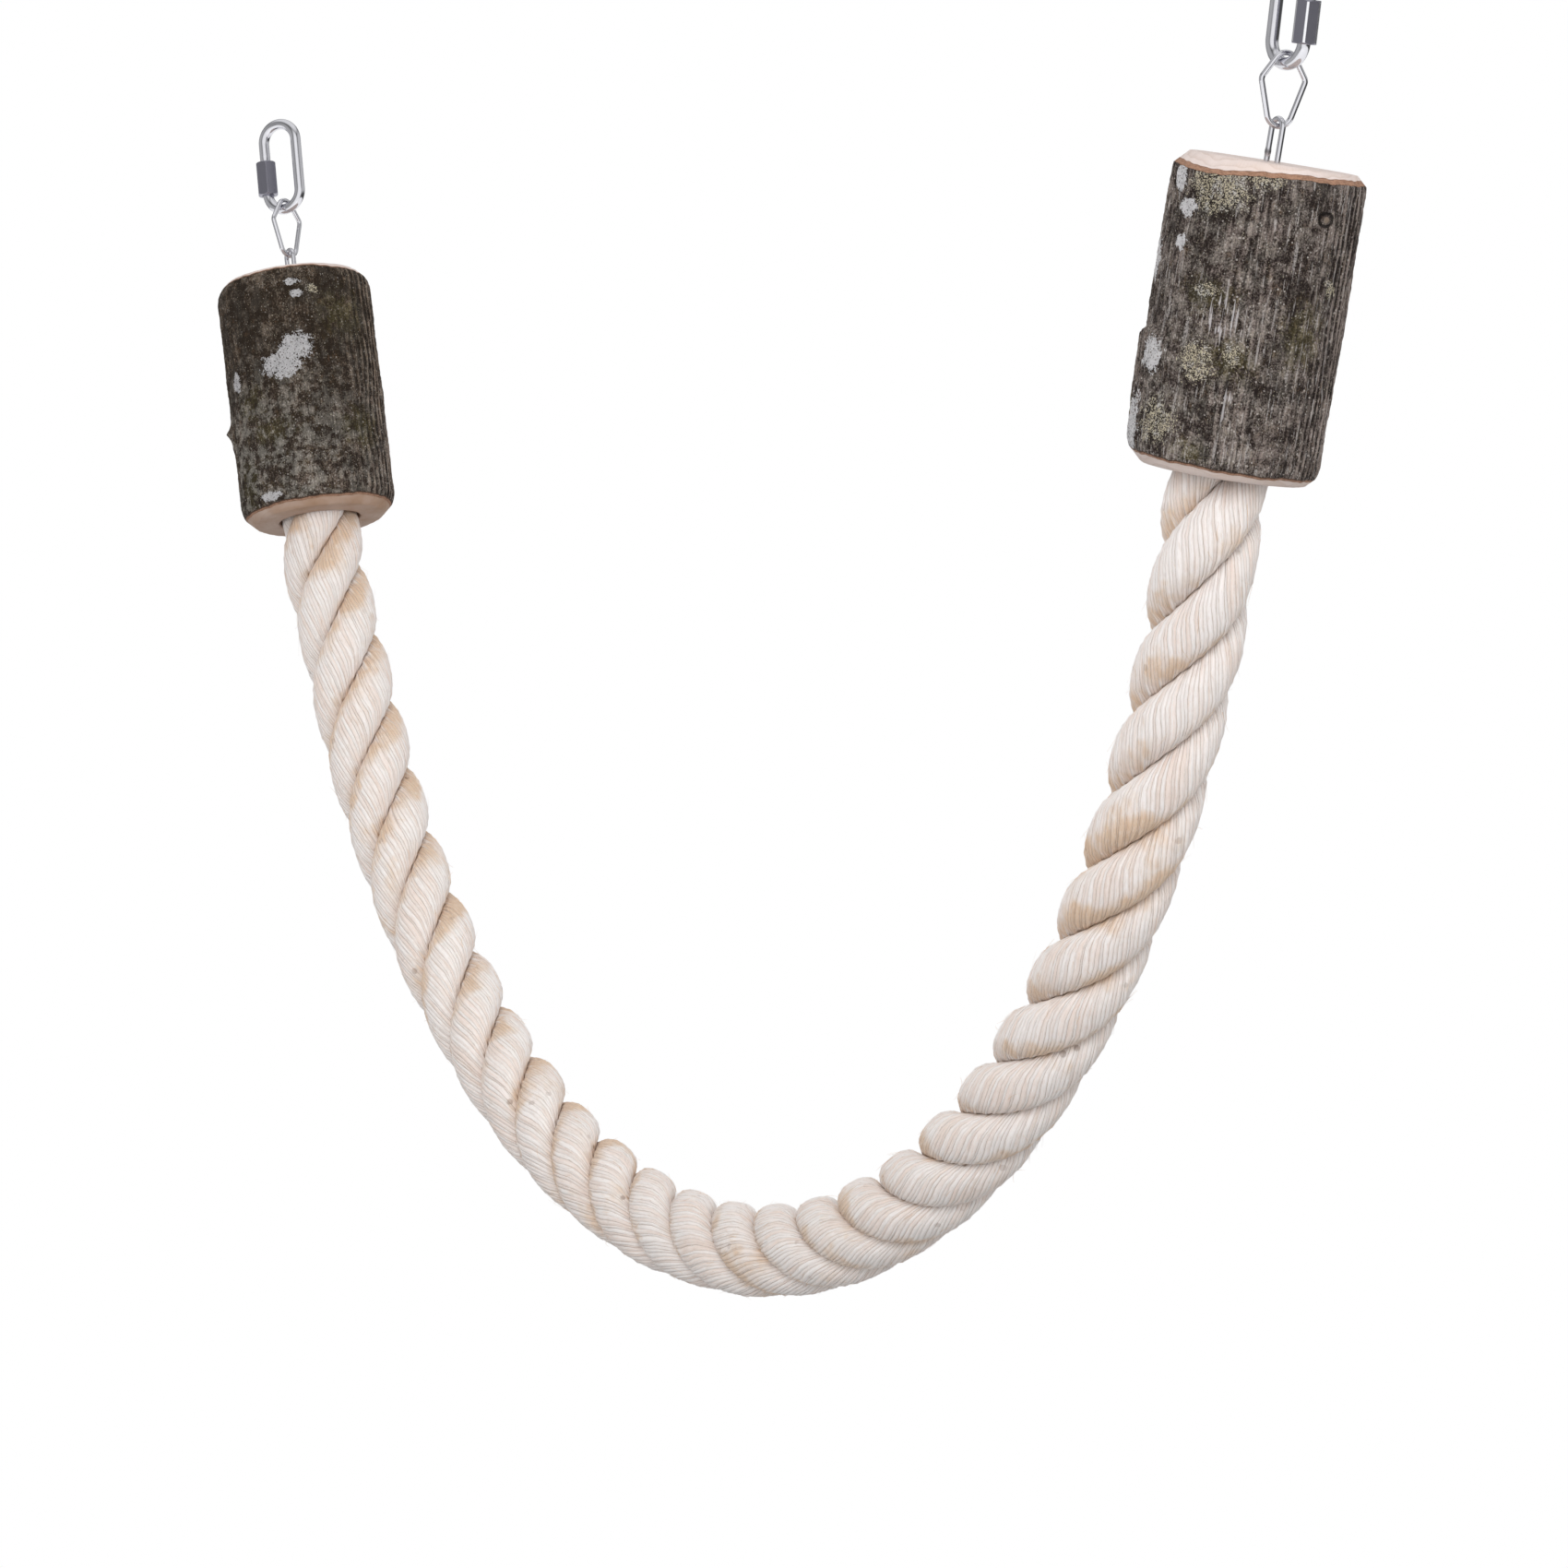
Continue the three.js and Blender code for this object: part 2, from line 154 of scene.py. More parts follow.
class RopeValues(bpy.types.PropertyGroup):
    """Sizes and colours of the rope"""

    diameter: size("Diameter", "Over the crowns of the three strands", 38.6)
    lay: size("Lay", "Length in which a strand goes once round the rope", 102.58)
    mouth_diameter: size("Diameter in the branch", "Of the rope squeezed into its socket", 35.8)
    squeeze: size("Squeeze", "Length over which the rope narrows before its socket", 26)
    yarns: bpy.props.IntProperty(
        name="Yarns", description="Yarns round each strand", default=40, min=8, max=48
    )
    yarn_depth: size("Yarn depth", "Of the grooves between the yarns", 0.4)
    loose_fibres: bpy.props.IntProperty(
        name="Loose fibres", description="Fibre ends that stand off", default=900, min=0
    )
    cream: tint("Fibre", "Main colour of the fibre", 247, 230, 220)
    pale: tint("Pale fibre", "Bleached streaks of the fibre", 255, 249, 246)
    # Tan of the unbleached fibre, also laid as painted shade beside the grooves and on one flank of
    # each strand
    straw_and_shade: tint("Straw", "Unbleached fibre beside the grooves", 230, 195, 160)
    seam: tint("Groove", "Shade at the bottom of the grooves", 156, 120, 84)


class BranchValues(bpy.types.PropertyGroup):
    """Sizes and colours of the branches"""

    length: size("Length", "Of each branch", 115)
    diameter: size("Diameter", "Over the bark", 72)
    bark: size("Bark", "Thickness of the bark", 2.2)
    chamfer: size("Sanded edge", "Width of the sanded edge at both ends", 3)
    ridges: size("Bark ridges", "Height of the bark's ridges", 0.9)
    bore: size("Rope socket", "Diameter of the hole for the rope", 37.6)
    # The bark's two colours follow its relief: the darker in its hollows, the lighter on its ridge
    # tops
    bark_dark: tint("Bark", "Hollows of the bark", 38, 30, 28)
    bark_light: tint("Bark ridges", "Worn tops of the bark's ridges", 152, 139, 133)
    bark_olive: tint("Algae", "Green film on the bark", 112, 103, 66)
    lichen_white: tint("White lichen", "Crust of white lichen", 226, 224, 226)
    lichen_cream: tint("Cream lichen", "Crust of yellowish lichen", 205, 194, 168)
    inner_bark: tint("Inner bark", "Cut edge of the bark", 172, 133, 110)
    wood_light: tint("Wood", "Sanded wood", 230, 215, 209)
    wood_dark: tint("Year rings", "Late wood of the year rings", 209, 190, 179)


class LinkValues(bpy.types.PropertyGroup):
    """Sizes and colours of the links and of the fastenings in the branches"""

    thin_wire: size("Thin wire", "Of the narrow and the six-sided links", 2.2)
    narrow_width: size("Narrow link width", "Over the wire", 8.6)
    narrow_length: size("Narrow link length", "Over the wire", 38)
    narrow_exposed: size("Narrow link above the wood", "Height that stands out", 17)
    hex_width: size("Six-sided link width", "Over the wire", 19.4)
    hex_length: size("Six-sided link length", "Over the wire", 29)
    hex_shoulder: size("Six-sided link shoulder", "Of its widest corners below its top", 11.2)
    hex_crown: size("Six-sided link crown", "Bend radius of the centreline at the top", 4.6)
    hex_foot: size("Six-sided link foot", "Bend radius of the centreline at the bottom", 5)
    hex_corner: size("Six-sided link corner", "Bend radius of the centreline at the sides", 2.6)
    thick_wire: size("Thick wire", "Of the quick links", 5)
    quick_length: size("Quick link length", "Over the wire", 46)
    leg_spacing: size("Leg spacing", "Between the centres of a quick link's legs", 17)
    pitch: size("Thread pitch", "Of the quick links' threads", 0.8)
    sleeve_length: size("Sleeve length", "Of the threaded sleeves", 16)
    sleeve_flats: size("Sleeve width", "Across the flats of the sleeves", 9)
    pin: size("Pin", "Diameter of the cross pins", 3.4)
    screw: size("Screw", "Diameter of the screws' shanks", 4)
    screw_head: size("Screw head", "Diameter of the screws' heads", 8.4)
    steel: tint("Steel", "Polished wire", 214, 214, 219)
    sleeve_steel: tint("Sleeve steel", "Turned sleeves", 150, 149, 160)
    fastener_steel: tint("Fastener steel", "Pins and screws", 172, 170, 166)


class StageValues(bpy.types.PropertyGroup):
    """The floor, the lamps and the camera"""

    floor_drop: size("Floor", "Depth of the floor below the hanging points", 1250)
    key: bpy.props.FloatProperty(
        name="Key lamp", description="Power of the soft main lamp", default=40.0, unit="POWER"
    )
    fill: bpy.props.FloatProperty(
        name="Fill lamp", description="Power of the lamp on the other side", default=9.0, unit="POWER"
    )
    room: bpy.props.FloatProperty(
        name="Room light", description="Level of the light from all round", default=0.66, min=0.0
    )
    lens: bpy.props.FloatProperty(
        name="Lens", description="Focal length", default=135.04, unit="CAMERA"
    )


VALUE_GROUPS = {
    "swing_rope": RopeValues,
    "swing_branch": BranchValues,
    "swing_links": LinkValues,
    "swing_stage": StageValues,
}


def in_mm(value):
    """A property's length in millimetres."""
    return value / MM


class Places:
    """Heights along a hanging line, measured from the hanging point, negative downwards."""

    def __init__(self, scene):
        links = scene.swing_links
        branch = scene.swing_branch
        thin = in_mm(links.thin_wire)
        thick = in_mm(links.thick_wire)
        self.quick_top = thick / 2
        self.quick_bottom = self.quick_top - (in_mm(links.quick_length) - thick)
        self.hex_top = self.quick_bottom + (thick + thin) / 2 + LINK_SEAT
        self.hex_bottom = self.hex_top - (in_mm(links.hex_length) - thin)
        self.eye_top = self.hex_bottom + thin + LINK_SEAT
        self.eye_bottom = self.eye_top - (in_mm(links.narrow_length) - thin)
        self.log_top = self.eye_top + thin / 2 - in_mm(links.narrow_exposed)
        self.log_bottom = self.log_top - in_mm(branch.length)
        self.pin = self.eye_bottom + (thin + in_mm(links.pin)) / 2 + FIT_GAP
        self.screw = self.log_bottom + SCREW_RISE
        self.bend_start = self.quick_bottom + in_mm(links.leg_spacing) / 2
        self.back = in_mm(branch.diameter) / 2
        self.wood_radius = self.back - in_mm(branch.bark) - FIT_GAP
        self.slot = (in_mm(links.narrow_width) / 2 + FIT_GAP, thin / 2 + FIT_GAP)
        self.slot_bottom = self.eye_bottom - thin / 2 - FIT_GAP
        runs = [self.inwards(side) for side in OUTWARD]
        self.half_span = MOUTH_HALF_SPAN + sum(runs) / 2

    def inwards(self, side):
        """How far inwards of its hanging point a branch's lower end lies."""
        own_run = math.sin(math.radians(BRANCH_LEAN[side]))
        own_run *= math.cos(math.radians(BRANCH_TIP[side]))
        line_run = -self.eye_top * math.sin(math.radians(LINE_LEAN))
        return line_run + (self.eye_top - self.log_bottom) * own_run

    def hanging_line(self, side):
        """From the millimetres of a line of links to the swing's."""
        lean = Matrix.Rotation(OUTWARD[side] * math.radians(LINE_LEAN), 4, "Y")
        return Matrix.Translation((OUTWARD[side] * self.half_span, 0, 0)) @ lean

    def branch(self, side):
        """From a branch's own millimetres to the swing's: it turns about its link's top."""
        lean = OUTWARD[side] * math.radians(BRANCH_LEAN[side] - LINE_LEAN)
        tip = -math.radians(BRANCH_TIP[side])
        turned = Matrix.Rotation(lean, 4, "Y") @ Matrix.Rotation(tip, 4, "X")
        pivot = Matrix.Translation((0, 0, self.eye_top))
        return self.hanging_line(side) @ pivot @ turned @ pivot.inverted()

    def rope_end(self, side, distance):
        """A place on a branch's axis, by its distance up from the branch's lower end."""
        return self.branch(side) @ Vector((0, 0, self.log_bottom + distance))

    def rope_plane(self):
        """From the plane that the rope hangs in, with the middle between the branches'
        lower ends as its origin, to the swing's millimetres."""
        left, right = self.rope_end("left", 0), self.rope_end("right", 0)
        across = (right - left).normalized()
        tip = math.radians(ROPE_TIP)
        back = Vector((0, -math.sin(tip), math.cos(tip))).cross(across).normalized()
        axes = Matrix((across, back, across.cross(back))).transposed().to_4x4()
        return Matrix.Translation((left + right) / 2) @ axes


def line_matrix(places, side, turn=0.0):
    """From a line's own millimetres, turned about the line, to the swing's metres."""
    turned = Matrix.Rotation(math.radians(turn), 4, "Z")
    return TO_METRES @ places.hanging_line(side) @ turned


def branch_matrix(places, side):
    """From a branch's own millimetres to the swing's metres."""
    return TO_METRES @ places.branch(side)


# Materials

# Shades that the finishes add to the colours that a user may change
SHADES = {
    name: linear(*levels)
    for name, levels in {
        "yarn shadow": (172, 146, 130),
        "hair shadow": (200, 174, 152),
        "rope speck": (126, 84, 48),
        "dusky brown": (150, 124, 92),
        "ginger bark": (112, 84, 64),
        "scurf": (178, 172, 162),
        "crack": (30, 24, 22),
        "grey dash": (190, 183, 180),
        "white score": (226, 220, 222),
        "dust": (192, 184, 178),
        "knot ring": (26, 21, 19),
        "knot middle": (146, 130, 114),
        "lichen bed": (46, 42, 40),
        "grey lichen": (202, 198, 192),
        "bark layer": (138, 106, 86),
        "outer rim": (84, 64, 52),
        "smudge": (224, 200, 184),
        "handled wood": (164, 132, 108),
        "hole": (118, 78, 58),
        "weld": (86, 82, 84),
        "rubbed steel": (240, 240, 243),
    }.items()
}


class Value:
    """A number or colour that varies over a surface, used in sums like a plain number."""

    def __init__(self, finish, socket):
        self.finish = finish
        self.socket = socket

    def math(self, operation, *terms):
        numbers = dict(enumerate(terms))
        return self.finish.node("ShaderNodeMath", {"operation": operation}, numbers)[0]

    def __add__(self, other):
        return self.math("ADD", self, other)

    def __sub__(self, other):
        return self.math("SUBTRACT", self, other)

    def __mul__(self, other):
        return self.math("MULTIPLY", self, other)

    def __truediv__(self, other):
        return self.math("DIVIDE", self, other)

    def __rsub__(self, other):
        return self.math("SUBTRACT", other, self)

    __radd__ = __add__
    __rmul__ = __mul__

    def to(self, low, high):
        """0 below low, 1 above high, and smooth between."""
        span = {0: self, 1: low, 2: high}
        smooth = {"interpolation_type": "SMOOTHSTEP"}
        return self.finish.node("ShaderNodeMapRange", smooth, span)[0]

    def most(self, other):
        return self.math("MAXIMUM", self, other)

    def least(self, other):
        return self.math("MINIMUM", self, other)

    def power(self, other):
        return self.math("POWER", self, other)

    def part(self):
        return self.math("FRACT", self)

    def size(self):
        return self.math("ABSOLUTE", self)


class Node:
    """A node's outputs, by name or number."""

    def __init__(self, finish, made):
        self.finish = finish
        self.made = made

    def __getitem__(self, output):
        return Value(self.finish, self.made.outputs[output])


class Finish:
    """A material or world in the making."""

    def __init__(self, name, world=False):
        kinds = bpy.data.worlds if world else bpy.data.materials
        self.data = kinds.new(name)
        self.data.use_nodes = True
        self.tree = self.data.node_tree
        self.tree.nodes.clear()

    def node(self, kind, settings=None, inputs=None):
        """A node with its settings made first, and then the values or links of its sockets."""
        made = self.tree.nodes.new(kind)
        for key, value in (settings or {}).items():
            setattr(made, key, value)
        for key, value in (inputs or {}).items():
            socket = made.inputs[key]
            if isinstance(value, Value):
                self.tree.links.new(value.socket, socket)
            elif socket.type == "RGBA" and len(value) == 3:
                socket.default_value = (*value, 1.0)
            else:
                socket.default_value = value
        return Node(self, made)

    def mix(self, factor, first, second):
        """The first colour where the factor is 0, and the second where it is 1."""
        return self.node(
            "ShaderNodeMix", {"data_type": "RGBA"}, {0: factor, 6: first, 7: second}
        )[2]

    def shade(self, colour, factor):
        """A colour times a number, which makes it darker below 1."""
        return self.node(
            "ShaderNodeVectorMath", {"operation": "SCALE"}, {0: colour, "Scale": factor}
        )[0]

    def attribute(self, name, output="Fac"):
        return self.node("ShaderNodeAttribute", {"attribute_name": name})[output]

    def stretched(self, vector, scale, place=(0, 0, 0)):
        """A vector with each of its directions scaled, and then moved."""
        return self.node(
            "ShaderNodeMapping",
            {"vector_type": "POINT"},
            {"Vector": vector, "Scale": scale, "Location": place},
        )[0]

    def noise(self, vector, scale, detail=2.0, roughness=0.5):
        """Cloudy noise from 0 to 1, about 0.5 on the whole."""
        return self.node(
            "ShaderNodeTexNoise",
            {"noise_dimensions": "3D"},
            {"Vector": vector, "Scale": scale, "Detail": detail, "Roughness": roughness},
        )[0]

    def drawn(self, vector, scale, detail=2.0, roughness=0.5, place=(0, 0, 0)):
        """Noise with a scale of its own along each direction, so that it can form lines."""
        return self.noise(self.stretched(vector, scale, place), 1.0, detail, roughness)

    def spots(self, vector, scale):
        """Distance to the nearest of some scattered points."""
        return self.node("ShaderNodeTexVoronoi", None, {"Vector": vector, "Scale": scale})[0]

    def bump(self, height, distance, strength=1.0):
        inputs = {"Height": height, "Distance": distance, "Strength": strength}
        return self.node("ShaderNodeBump", None, inputs)[0]

    def surface(self, **inputs):
        """Ends the material in one principled shader, and returns the material."""
        named = {key.replace("_", " "): value for key, value in inputs.items()}
        shader = self.node("ShaderNodeBsdfPrincipled", None, named)
        self.node("ShaderNodeOutputMaterial", None, {"Surface": shader[0]})
        return self.data


def rope_finish(values):
    """Laid fibre: bleached yarns and unbleached tan fibre, the tan partly painted shade beside the
    grooves and on one flank of each strand, with painted shade and highlights on the yarns.
    """
    f = Finish("rope_fibre")
    lay = f.node("ShaderNodeUVMap", {"uv_map": "lay"})[0]
    split = f.node("ShaderNodeSeparateXYZ", None, {0: lay})
    edge = (split[0].part() - 0.5).size() * 2
    yarn = f.node(
        "ShaderNodeTexWhiteNoise",
        {"noise_dimensions": "1D"},
        {"W": split[0].math("FLOOR", split[0])},
    )[0]
    groove = f.attribute("groove")
    flank = f.attribute("flank")
    place = f.node("ShaderNodeTexCoord")["Object"]
    streaks = f.drawn(lay, (2.3, 0.14, 1.0), 4.0, 0.75)
    fibres = f.drawn(lay, (7.0, 0.4, 1.0), 4.0, 0.7)
    blotches = f.noise(place, 46.0, 3.0, 0.6)
    clouds = f.noise(place, 13.0, 2.0)

    # Bleached and unbleached fibre; the tan of the unbleached fibre is partly its own uneven tone and
    # partly painted shade beside the grooves and on one flank of each strand
    pale = (streaks * 1.1 + yarn * 0.35 + (blotches - 0.5) * 0.8).to(0.40, 0.85)
    body = f.mix(pale, values.cream, values.pale)
    straw_and_shade = (
        groove * 0.55
        + flank.most(0.0) * 0.85
        + (blotches - 0.5) * 3.0
        + (clouds - 0.5) * 1.6
        + (streaks - 0.5) * 1.1
        + (yarn - 0.5) * 0.25
    ).to(0.20, 1.05)
    body = f.mix(straw_and_shade * 0.85, body, values.straw_and_shade)

    # Painted shadows between the yarns and along single fibres, painted highlights along the fibres,
    # painted shade in the grooves between the strands, and specks
    worn = f.drawn(lay, (0.8, 0.05, 1.0)).to(0.35, 0.65)
    between = edge.power(6.0) * (worn * 0.6 + (streaks - 0.5) * 1.6 + 0.30).most(0.0)
    body = f.mix(between.least(0.7), body, SHADES["yarn shadow"])
    hair = (0.49 - fibres).to(0.0, 0.16) * 0.40
    body = f.mix(hair, body, SHADES["hair shadow"])
    # Painted highlights: fine pale streaks along the fibres
    painted_glints = f.drawn(lay, (15.0, 0.6, 1.0), 3.0, 0.7)
    body = f.mix((painted_glints - 0.5).to(0.02, 0.14) * 0.55, body, values.pale)
    # Painted shade at the bottom of the grooves, where the strands meet
    deep = (groove + (fibres - 0.5) * 0.25).to(0.70, 1.0) * 0.75
    body = f.mix(deep, body, values.seam)
    speck = (0.15 - f.spots(place, 85.0)).to(0.0, 0.05) * blotches.to(0.46, 0.58)
    body = f.mix(speck * (groove * 0.6 + 0.25), body, SHADES["rope speck"])

    height = (1.0 - edge.power(3.0)) * 0.4 + fibres * 0.9 + streaks * 0.6 + painted_glints * 0.4
    return f.surface(
        Base_Color=body,
        Roughness=(0.62 + (fibres - 0.5) * 0.3).least(0.9),
        Normal=f.bump(height, 0.00035),
        Specular_IOR_Level=0.35,
        Sheen_Weight=0.2,
        Sheen_Roughness=0.4,
    )


class BarkPatterns:
    """The patterns that the bark's colours and relief share."""

    def __init__(self, f):
        place = f.attribute("place", "Vector")
        self.place = place
        self.furrowed = f.attribute("furrowed")
        self.crusty = f.attribute("crusty")
        self.brown_and_shade = f.attribute("brown_and_shade")
        self.knot = f.attribute("knot")
        self.grain = f.noise(place, 1.4, 3.0, 0.65)
        self.fine = f.noise(f.stretched(place, (1, 1, 1), (40, 9, 3)), 1.45, 1.0)
        self.fibres = f.drawn(place, (1.1, 1.1, 0.06), 4.0, 0.65)
        self.mottle = f.noise(place, 0.30, 4.0, 0.68)
        self.blots = f.noise(f.stretched(place, (1, 1, 0.8), (31, 7, 3)), 0.24, 4.0, 0.65)
        self.clouds = f.noise(place, 0.075, 3.0, 0.55)
        off = (f.drawn(place, (0.40, 0.40, 0.016)) - 0.5).size()
        self.crack = (0.04 - off).to(0.0, 0.035) * (self.furrowed * 0.8 + 0.2)
        ragged = (self.mottle - 0.5) * 2.6 + (self.grain - 0.5) * 0.8
        self.cream = (f.attribute("lichen_cream") * 1.5 + ragged).to(0.0, 0.9)
        white = (f.attribute("lichen_white") * 1.9 + ragged).to(0.15, 0.8)
        self.rind = (self.fine + white * 0.45 - 0.76).to(0.0, 0.12)
        self.edge = (f.attribute("sanded") + (self.grain - 0.5) * 0.5).to(0.35, 0.65)


def bark_ground(f, values, p):
    """Colour of the bark's ridges and hollows, with its algae and scurf, and on the left branch
    browner bark with painted shade, strongest towards its top.
    """
    # Darker in the hollows and lighter on the ridges, following the relief, with uneven tone from the
    # noises
    uneven = (
        (f.attribute("relief") - 0.5) * (p.furrowed * 2.4 + 0.5)
        + (p.fibres - 0.5) * (p.furrowed * 1.1 + 1.0)
        + (p.grain - 0.5) * 2.3
        + (p.mottle - 0.5) * (1.4 - p.furrowed * 0.8)
        + (p.clouds - 0.5) * 1.7
    )
    # Painted shade with browner bark: darker and browner where the left branch is shaded
    light = (uneven * (1.0 - p.brown_and_shade * 0.3) - p.brown_and_shade * 0.28 + 0.37).to(-0.05, 1.1)
    body = f.mix(light, values.bark_dark, values.bark_light)
    body = f.mix(p.brown_and_shade * 0.6, body, f.shade(SHADES["dusky brown"], light * 0.7 + 0.10))
    ginger = (p.blots + (p.grain - 0.5) * 0.6).to(0.58, 0.72)
    body = f.mix(ginger * 0.35, body, SHADES["ginger bark"])
    algae = f.attribute("algae").most(0.0)
    film = (p.blots * 1.4 + (p.fine - 0.5) * 0.9 + algae * 0.35).to(0.72, 0.98)
    film = film * (p.crusty * 0.5 + algae * 1.2 + 0.1).least(1.0)
    body = f.mix(film * 0.65, body, f.shade(values.bark_olive, light * 0.9 + 0.35))
    soft = f.noise(f.stretched(p.place, (1, 1, 1), (9, 21, 5)), 0.15, 3.0, 0.6)
    scurf = (soft * 1.3 + (p.mottle - 0.5) * 1.1 + (p.grain - 0.5) * 0.5).to(0.56, 0.82)
    scurfy = f.shade(SHADES["scurf"], light * 0.6 + 0.42)
    return f.mix(scurf * p.crusty * 0.8, body, scurfy)


def bark_marks(f, p, body):
    """The colour with the bark's cracks, pale dashes, dots and dust, and its knot."""
    body = f.mix(p.crack * 0.8, body, SHADES["crack"])
    scored = f.attribute("scored").to(0.0, 0.5)
    dashes = f.drawn(p.place, (0.9, 0.9, 0.07), place=(11, 5, 0))
    dashes = (dashes + scored * 0.10).to(0.605, 0.67)
    dashes = dashes * (p.grain + p.furrowed * 0.3 + scored * 0.2).to(0.40, 0.60)
    dashes = dashes * (1.0 - p.brown_and_shade).power(3.0)
    stroke = f.mix(scored, SHADES["grey dash"], SHADES["white score"])
    body = f.mix(dashes * 0.8, body, stroke)
    dots = (0.20 - f.spots(p.place, 0.46)).to(0.0, 0.06)
    dots = dots * (p.blots + p.crusty * 0.1).to(0.46, 0.6)
    dust = (0.30 - f.spots(f.stretched(p.place, (1, 1, 0.7), (5, 3, 9)), 0.95)).to(0.0, 0.08)
    dust = dust * (p.mottle + (p.clouds - 0.5) * 0.6).to(0.50, 0.61)
    body = f.mix(dots.most(dust * 0.8) * (0.9 - p.brown_and_shade * 0.6), body, SHADES["dust"])
    body = f.mix(p.knot.to(0.15, 0.6) * 0.9, body, SHADES["knot ring"])
    return f.mix((0.0 - p.knot).to(0.1, 0.45) * 0.8, body, SHADES["knot middle"])


def bark_lichen(f, values, p, body):
    """The colour with crusts of cream and of white lichen."""
    body = f.mix(p.cream * 0.5, body, SHADES["lichen bed"])
    flecks = f.noise(p.place, 1.9, 1.0)
    crust = (flecks + p.cream * 0.22 - 0.68).to(0.0, 0.10)
    greyed = (p.blots + (p.grain - 0.5) * 0.5).to(0.48, 0.64)
    shell = f.mix(greyed, values.lichen_cream, SHADES["grey lichen"])
    body = f.mix(crust * 0.85, body, f.shade(shell, (p.mottle * 0.8 + 0.55).least(1.0)))
    # The white lichen is darkened by the same painted shade
    chalk = (p.grain * 0.6 + p.mottle * 0.7 + 0.28).least(1.0) * (1.0 - p.brown_and_shade * 0.22)
    return f.mix(p.rind * 0.9, body, f.shade(values.lichen_white, chalk))


def bark_cut(f, values, p):
    """Colour of the sanded edge, through the bark's layers."""
    layers = f.drawn(p.place, (0.5, 0.5, 2.4), 3.0)
    banded = (layers + (p.grain - 0.5) * 0.8).to(0.35, 0.7)
    cut = f.mix(banded, values.inner_bark, SHADES["bark layer"])
    outer = (f.attribute("rim_depth") + (p.grain - 0.5) * 0.5).to(0.45, 0.65)
    return f.mix(outer, cut, SHADES["outer rim"])


def bark_finish(values):
    """Weathered bark with lichen, and its orange-brown layers where it is sanded."""
    f = Finish("bark")
    p = BarkPatterns(f)
    body = bark_marks(f, p, bark_ground(f, values, p))
    body = bark_lichen(f, values, p, body)
    body = f.mix(p.edge, body, bark_cut(f, values, p))
    height = p.fibres * 0.9 + p.grain * 0.7 + p.mottle * 0.5 - p.crack * 0.6
    height = height + p.rind * 0.25 - p.knot * 0.5
    return f.surface(
        Base_Color=body,
        Roughness=0.98 - p.rind * 0.1 - p.edge * 0.2,
        Normal=f.bump(height * (1.0 - p.edge * 0.85), 0.0009),
        Specular_IOR_Level=0.25,
    )


def wood_finish(values):
    """Sanded wood with year rings round an off-centre pith, and fine rays, with painted shade on the
    lower end faces and in the holes.
    """
    f = Finish("cut_wood")
    place = f.attribute("place", "Vector")
    wobble = f.noise(place, 0.05, 2.0)
    split = f.node("ShaderNodeSeparateXYZ", None, {0: place})
    right = split[0] - 4.0
    back = split[1] + 3.0
    distance = (right * right + back * back).power(0.5) + (wobble - 0.5) * 9.0
    ring = (distance / 2.7 + (f.noise(place, 0.02, 1.0) - 0.5) * 2.0).part()
    late = ring.power(2.2) * (1 - ring.to(0.93, 1.0))
    angle = back.math("ARCTAN2", back, right)
    spokes = f.node("ShaderNodeCombineXYZ", None, {0: angle * 55.0, 1: distance * 0.06})[0]
    rays = f.noise(spokes, 1.0)
    fibre = f.drawn(place, (2.6, 2.6, 0.12), 3.0)
    pores = f.noise(place, 3.2, 2.0, 0.7)
    uneven = (rays - 0.5) * 0.5 + (fibre - 0.5) * 0.45 + (pores - 0.5) * 0.35
    dark = (late * 0.62 + uneven).to(-0.1, 0.95)
    body = f.mix(dark, values.wood_light, values.wood_dark)
    smudge = f.noise(place, 0.07, 3.0)
    body = f.mix(smudge.to(0.45, 0.8) * 0.35, body, SHADES["smudge"])
    # Painted shade: the lower end faces are darker and browner, strongly on the left branch and
    # faintly on the right
    own = f.node("ShaderNodeTexCoord")["Object"]
    across = f.node("ShaderNodeSeparateXYZ", None, {0: own})[0]
    underside_shade = 0.18 + (0.0 - across).to(-0.05, 0.05) * 0.82
    low = (-150.0 - split[2]).to(0.0, 8.0) * underside_shade
    body = f.mix(low * (0.8 + (smudge - 0.5) * 1.0).least(1.0), body, SHADES["handled wood"])
    # Painted shade: darker the deeper a point lies in the slot or the socket
    deep = f.attribute("depth")
    body = f.mix(deep * 0.7, body, SHADES["hole"])
    scratches = f.drawn(place, (0.2, 3.4, 3.4))
    normal = f.bump(scratches * 0.5 + fibre * 0.3 + late * 0.5, 0.00018, 0.6)
    return f.surface(
        Base_Color=body,
        Roughness=0.62 + (fibre - 0.5) * 0.2,
        Normal=normal,
        Specular_IOR_Level=0.35,
    )


def steel_finish(name, colour, roughness, drawn):
    """Polished or drawn steel with faint lines and fingermarks, and smoother steel with a painted
    highlight along a worn sleeve's corners.
    """
    f = Finish(name)
    place = f.node("ShaderNodeTexCoord")["Object"]
    marks = f.noise(place, 420.0, 3.0, 0.6)
    lines = f.drawn(place, drawn)
    weld = f.attribute("weld")
    dull = (weld + (marks - 0.5) * 0.4 * weld).least(1.0)
    body = f.mix((marks - 0.35).to(0.0, 0.5) * 0.3, colour, f.shade(colour, 0.82))
    body = f.mix(dull * 0.75, body, SHADES["weld"])
    # Painted highlight: near-white colour and smoother steel along the worn sleeve's corners
    rubbed_and_highlight = f.attribute("rubbed_and_highlight")
    body = f.mix(rubbed_and_highlight, body, SHADES["rubbed steel"])
    normal = f.bump(lines, 0.000008, 0.4)
    return f.surface(
        Base_Color=body,
        Metallic=1.0,
        Roughness=roughness + (marks - 0.5) * 0.08 + dull * 0.3 - rubbed_and_highlight * 0.1,
        Normal=normal,
    )


# Meshes


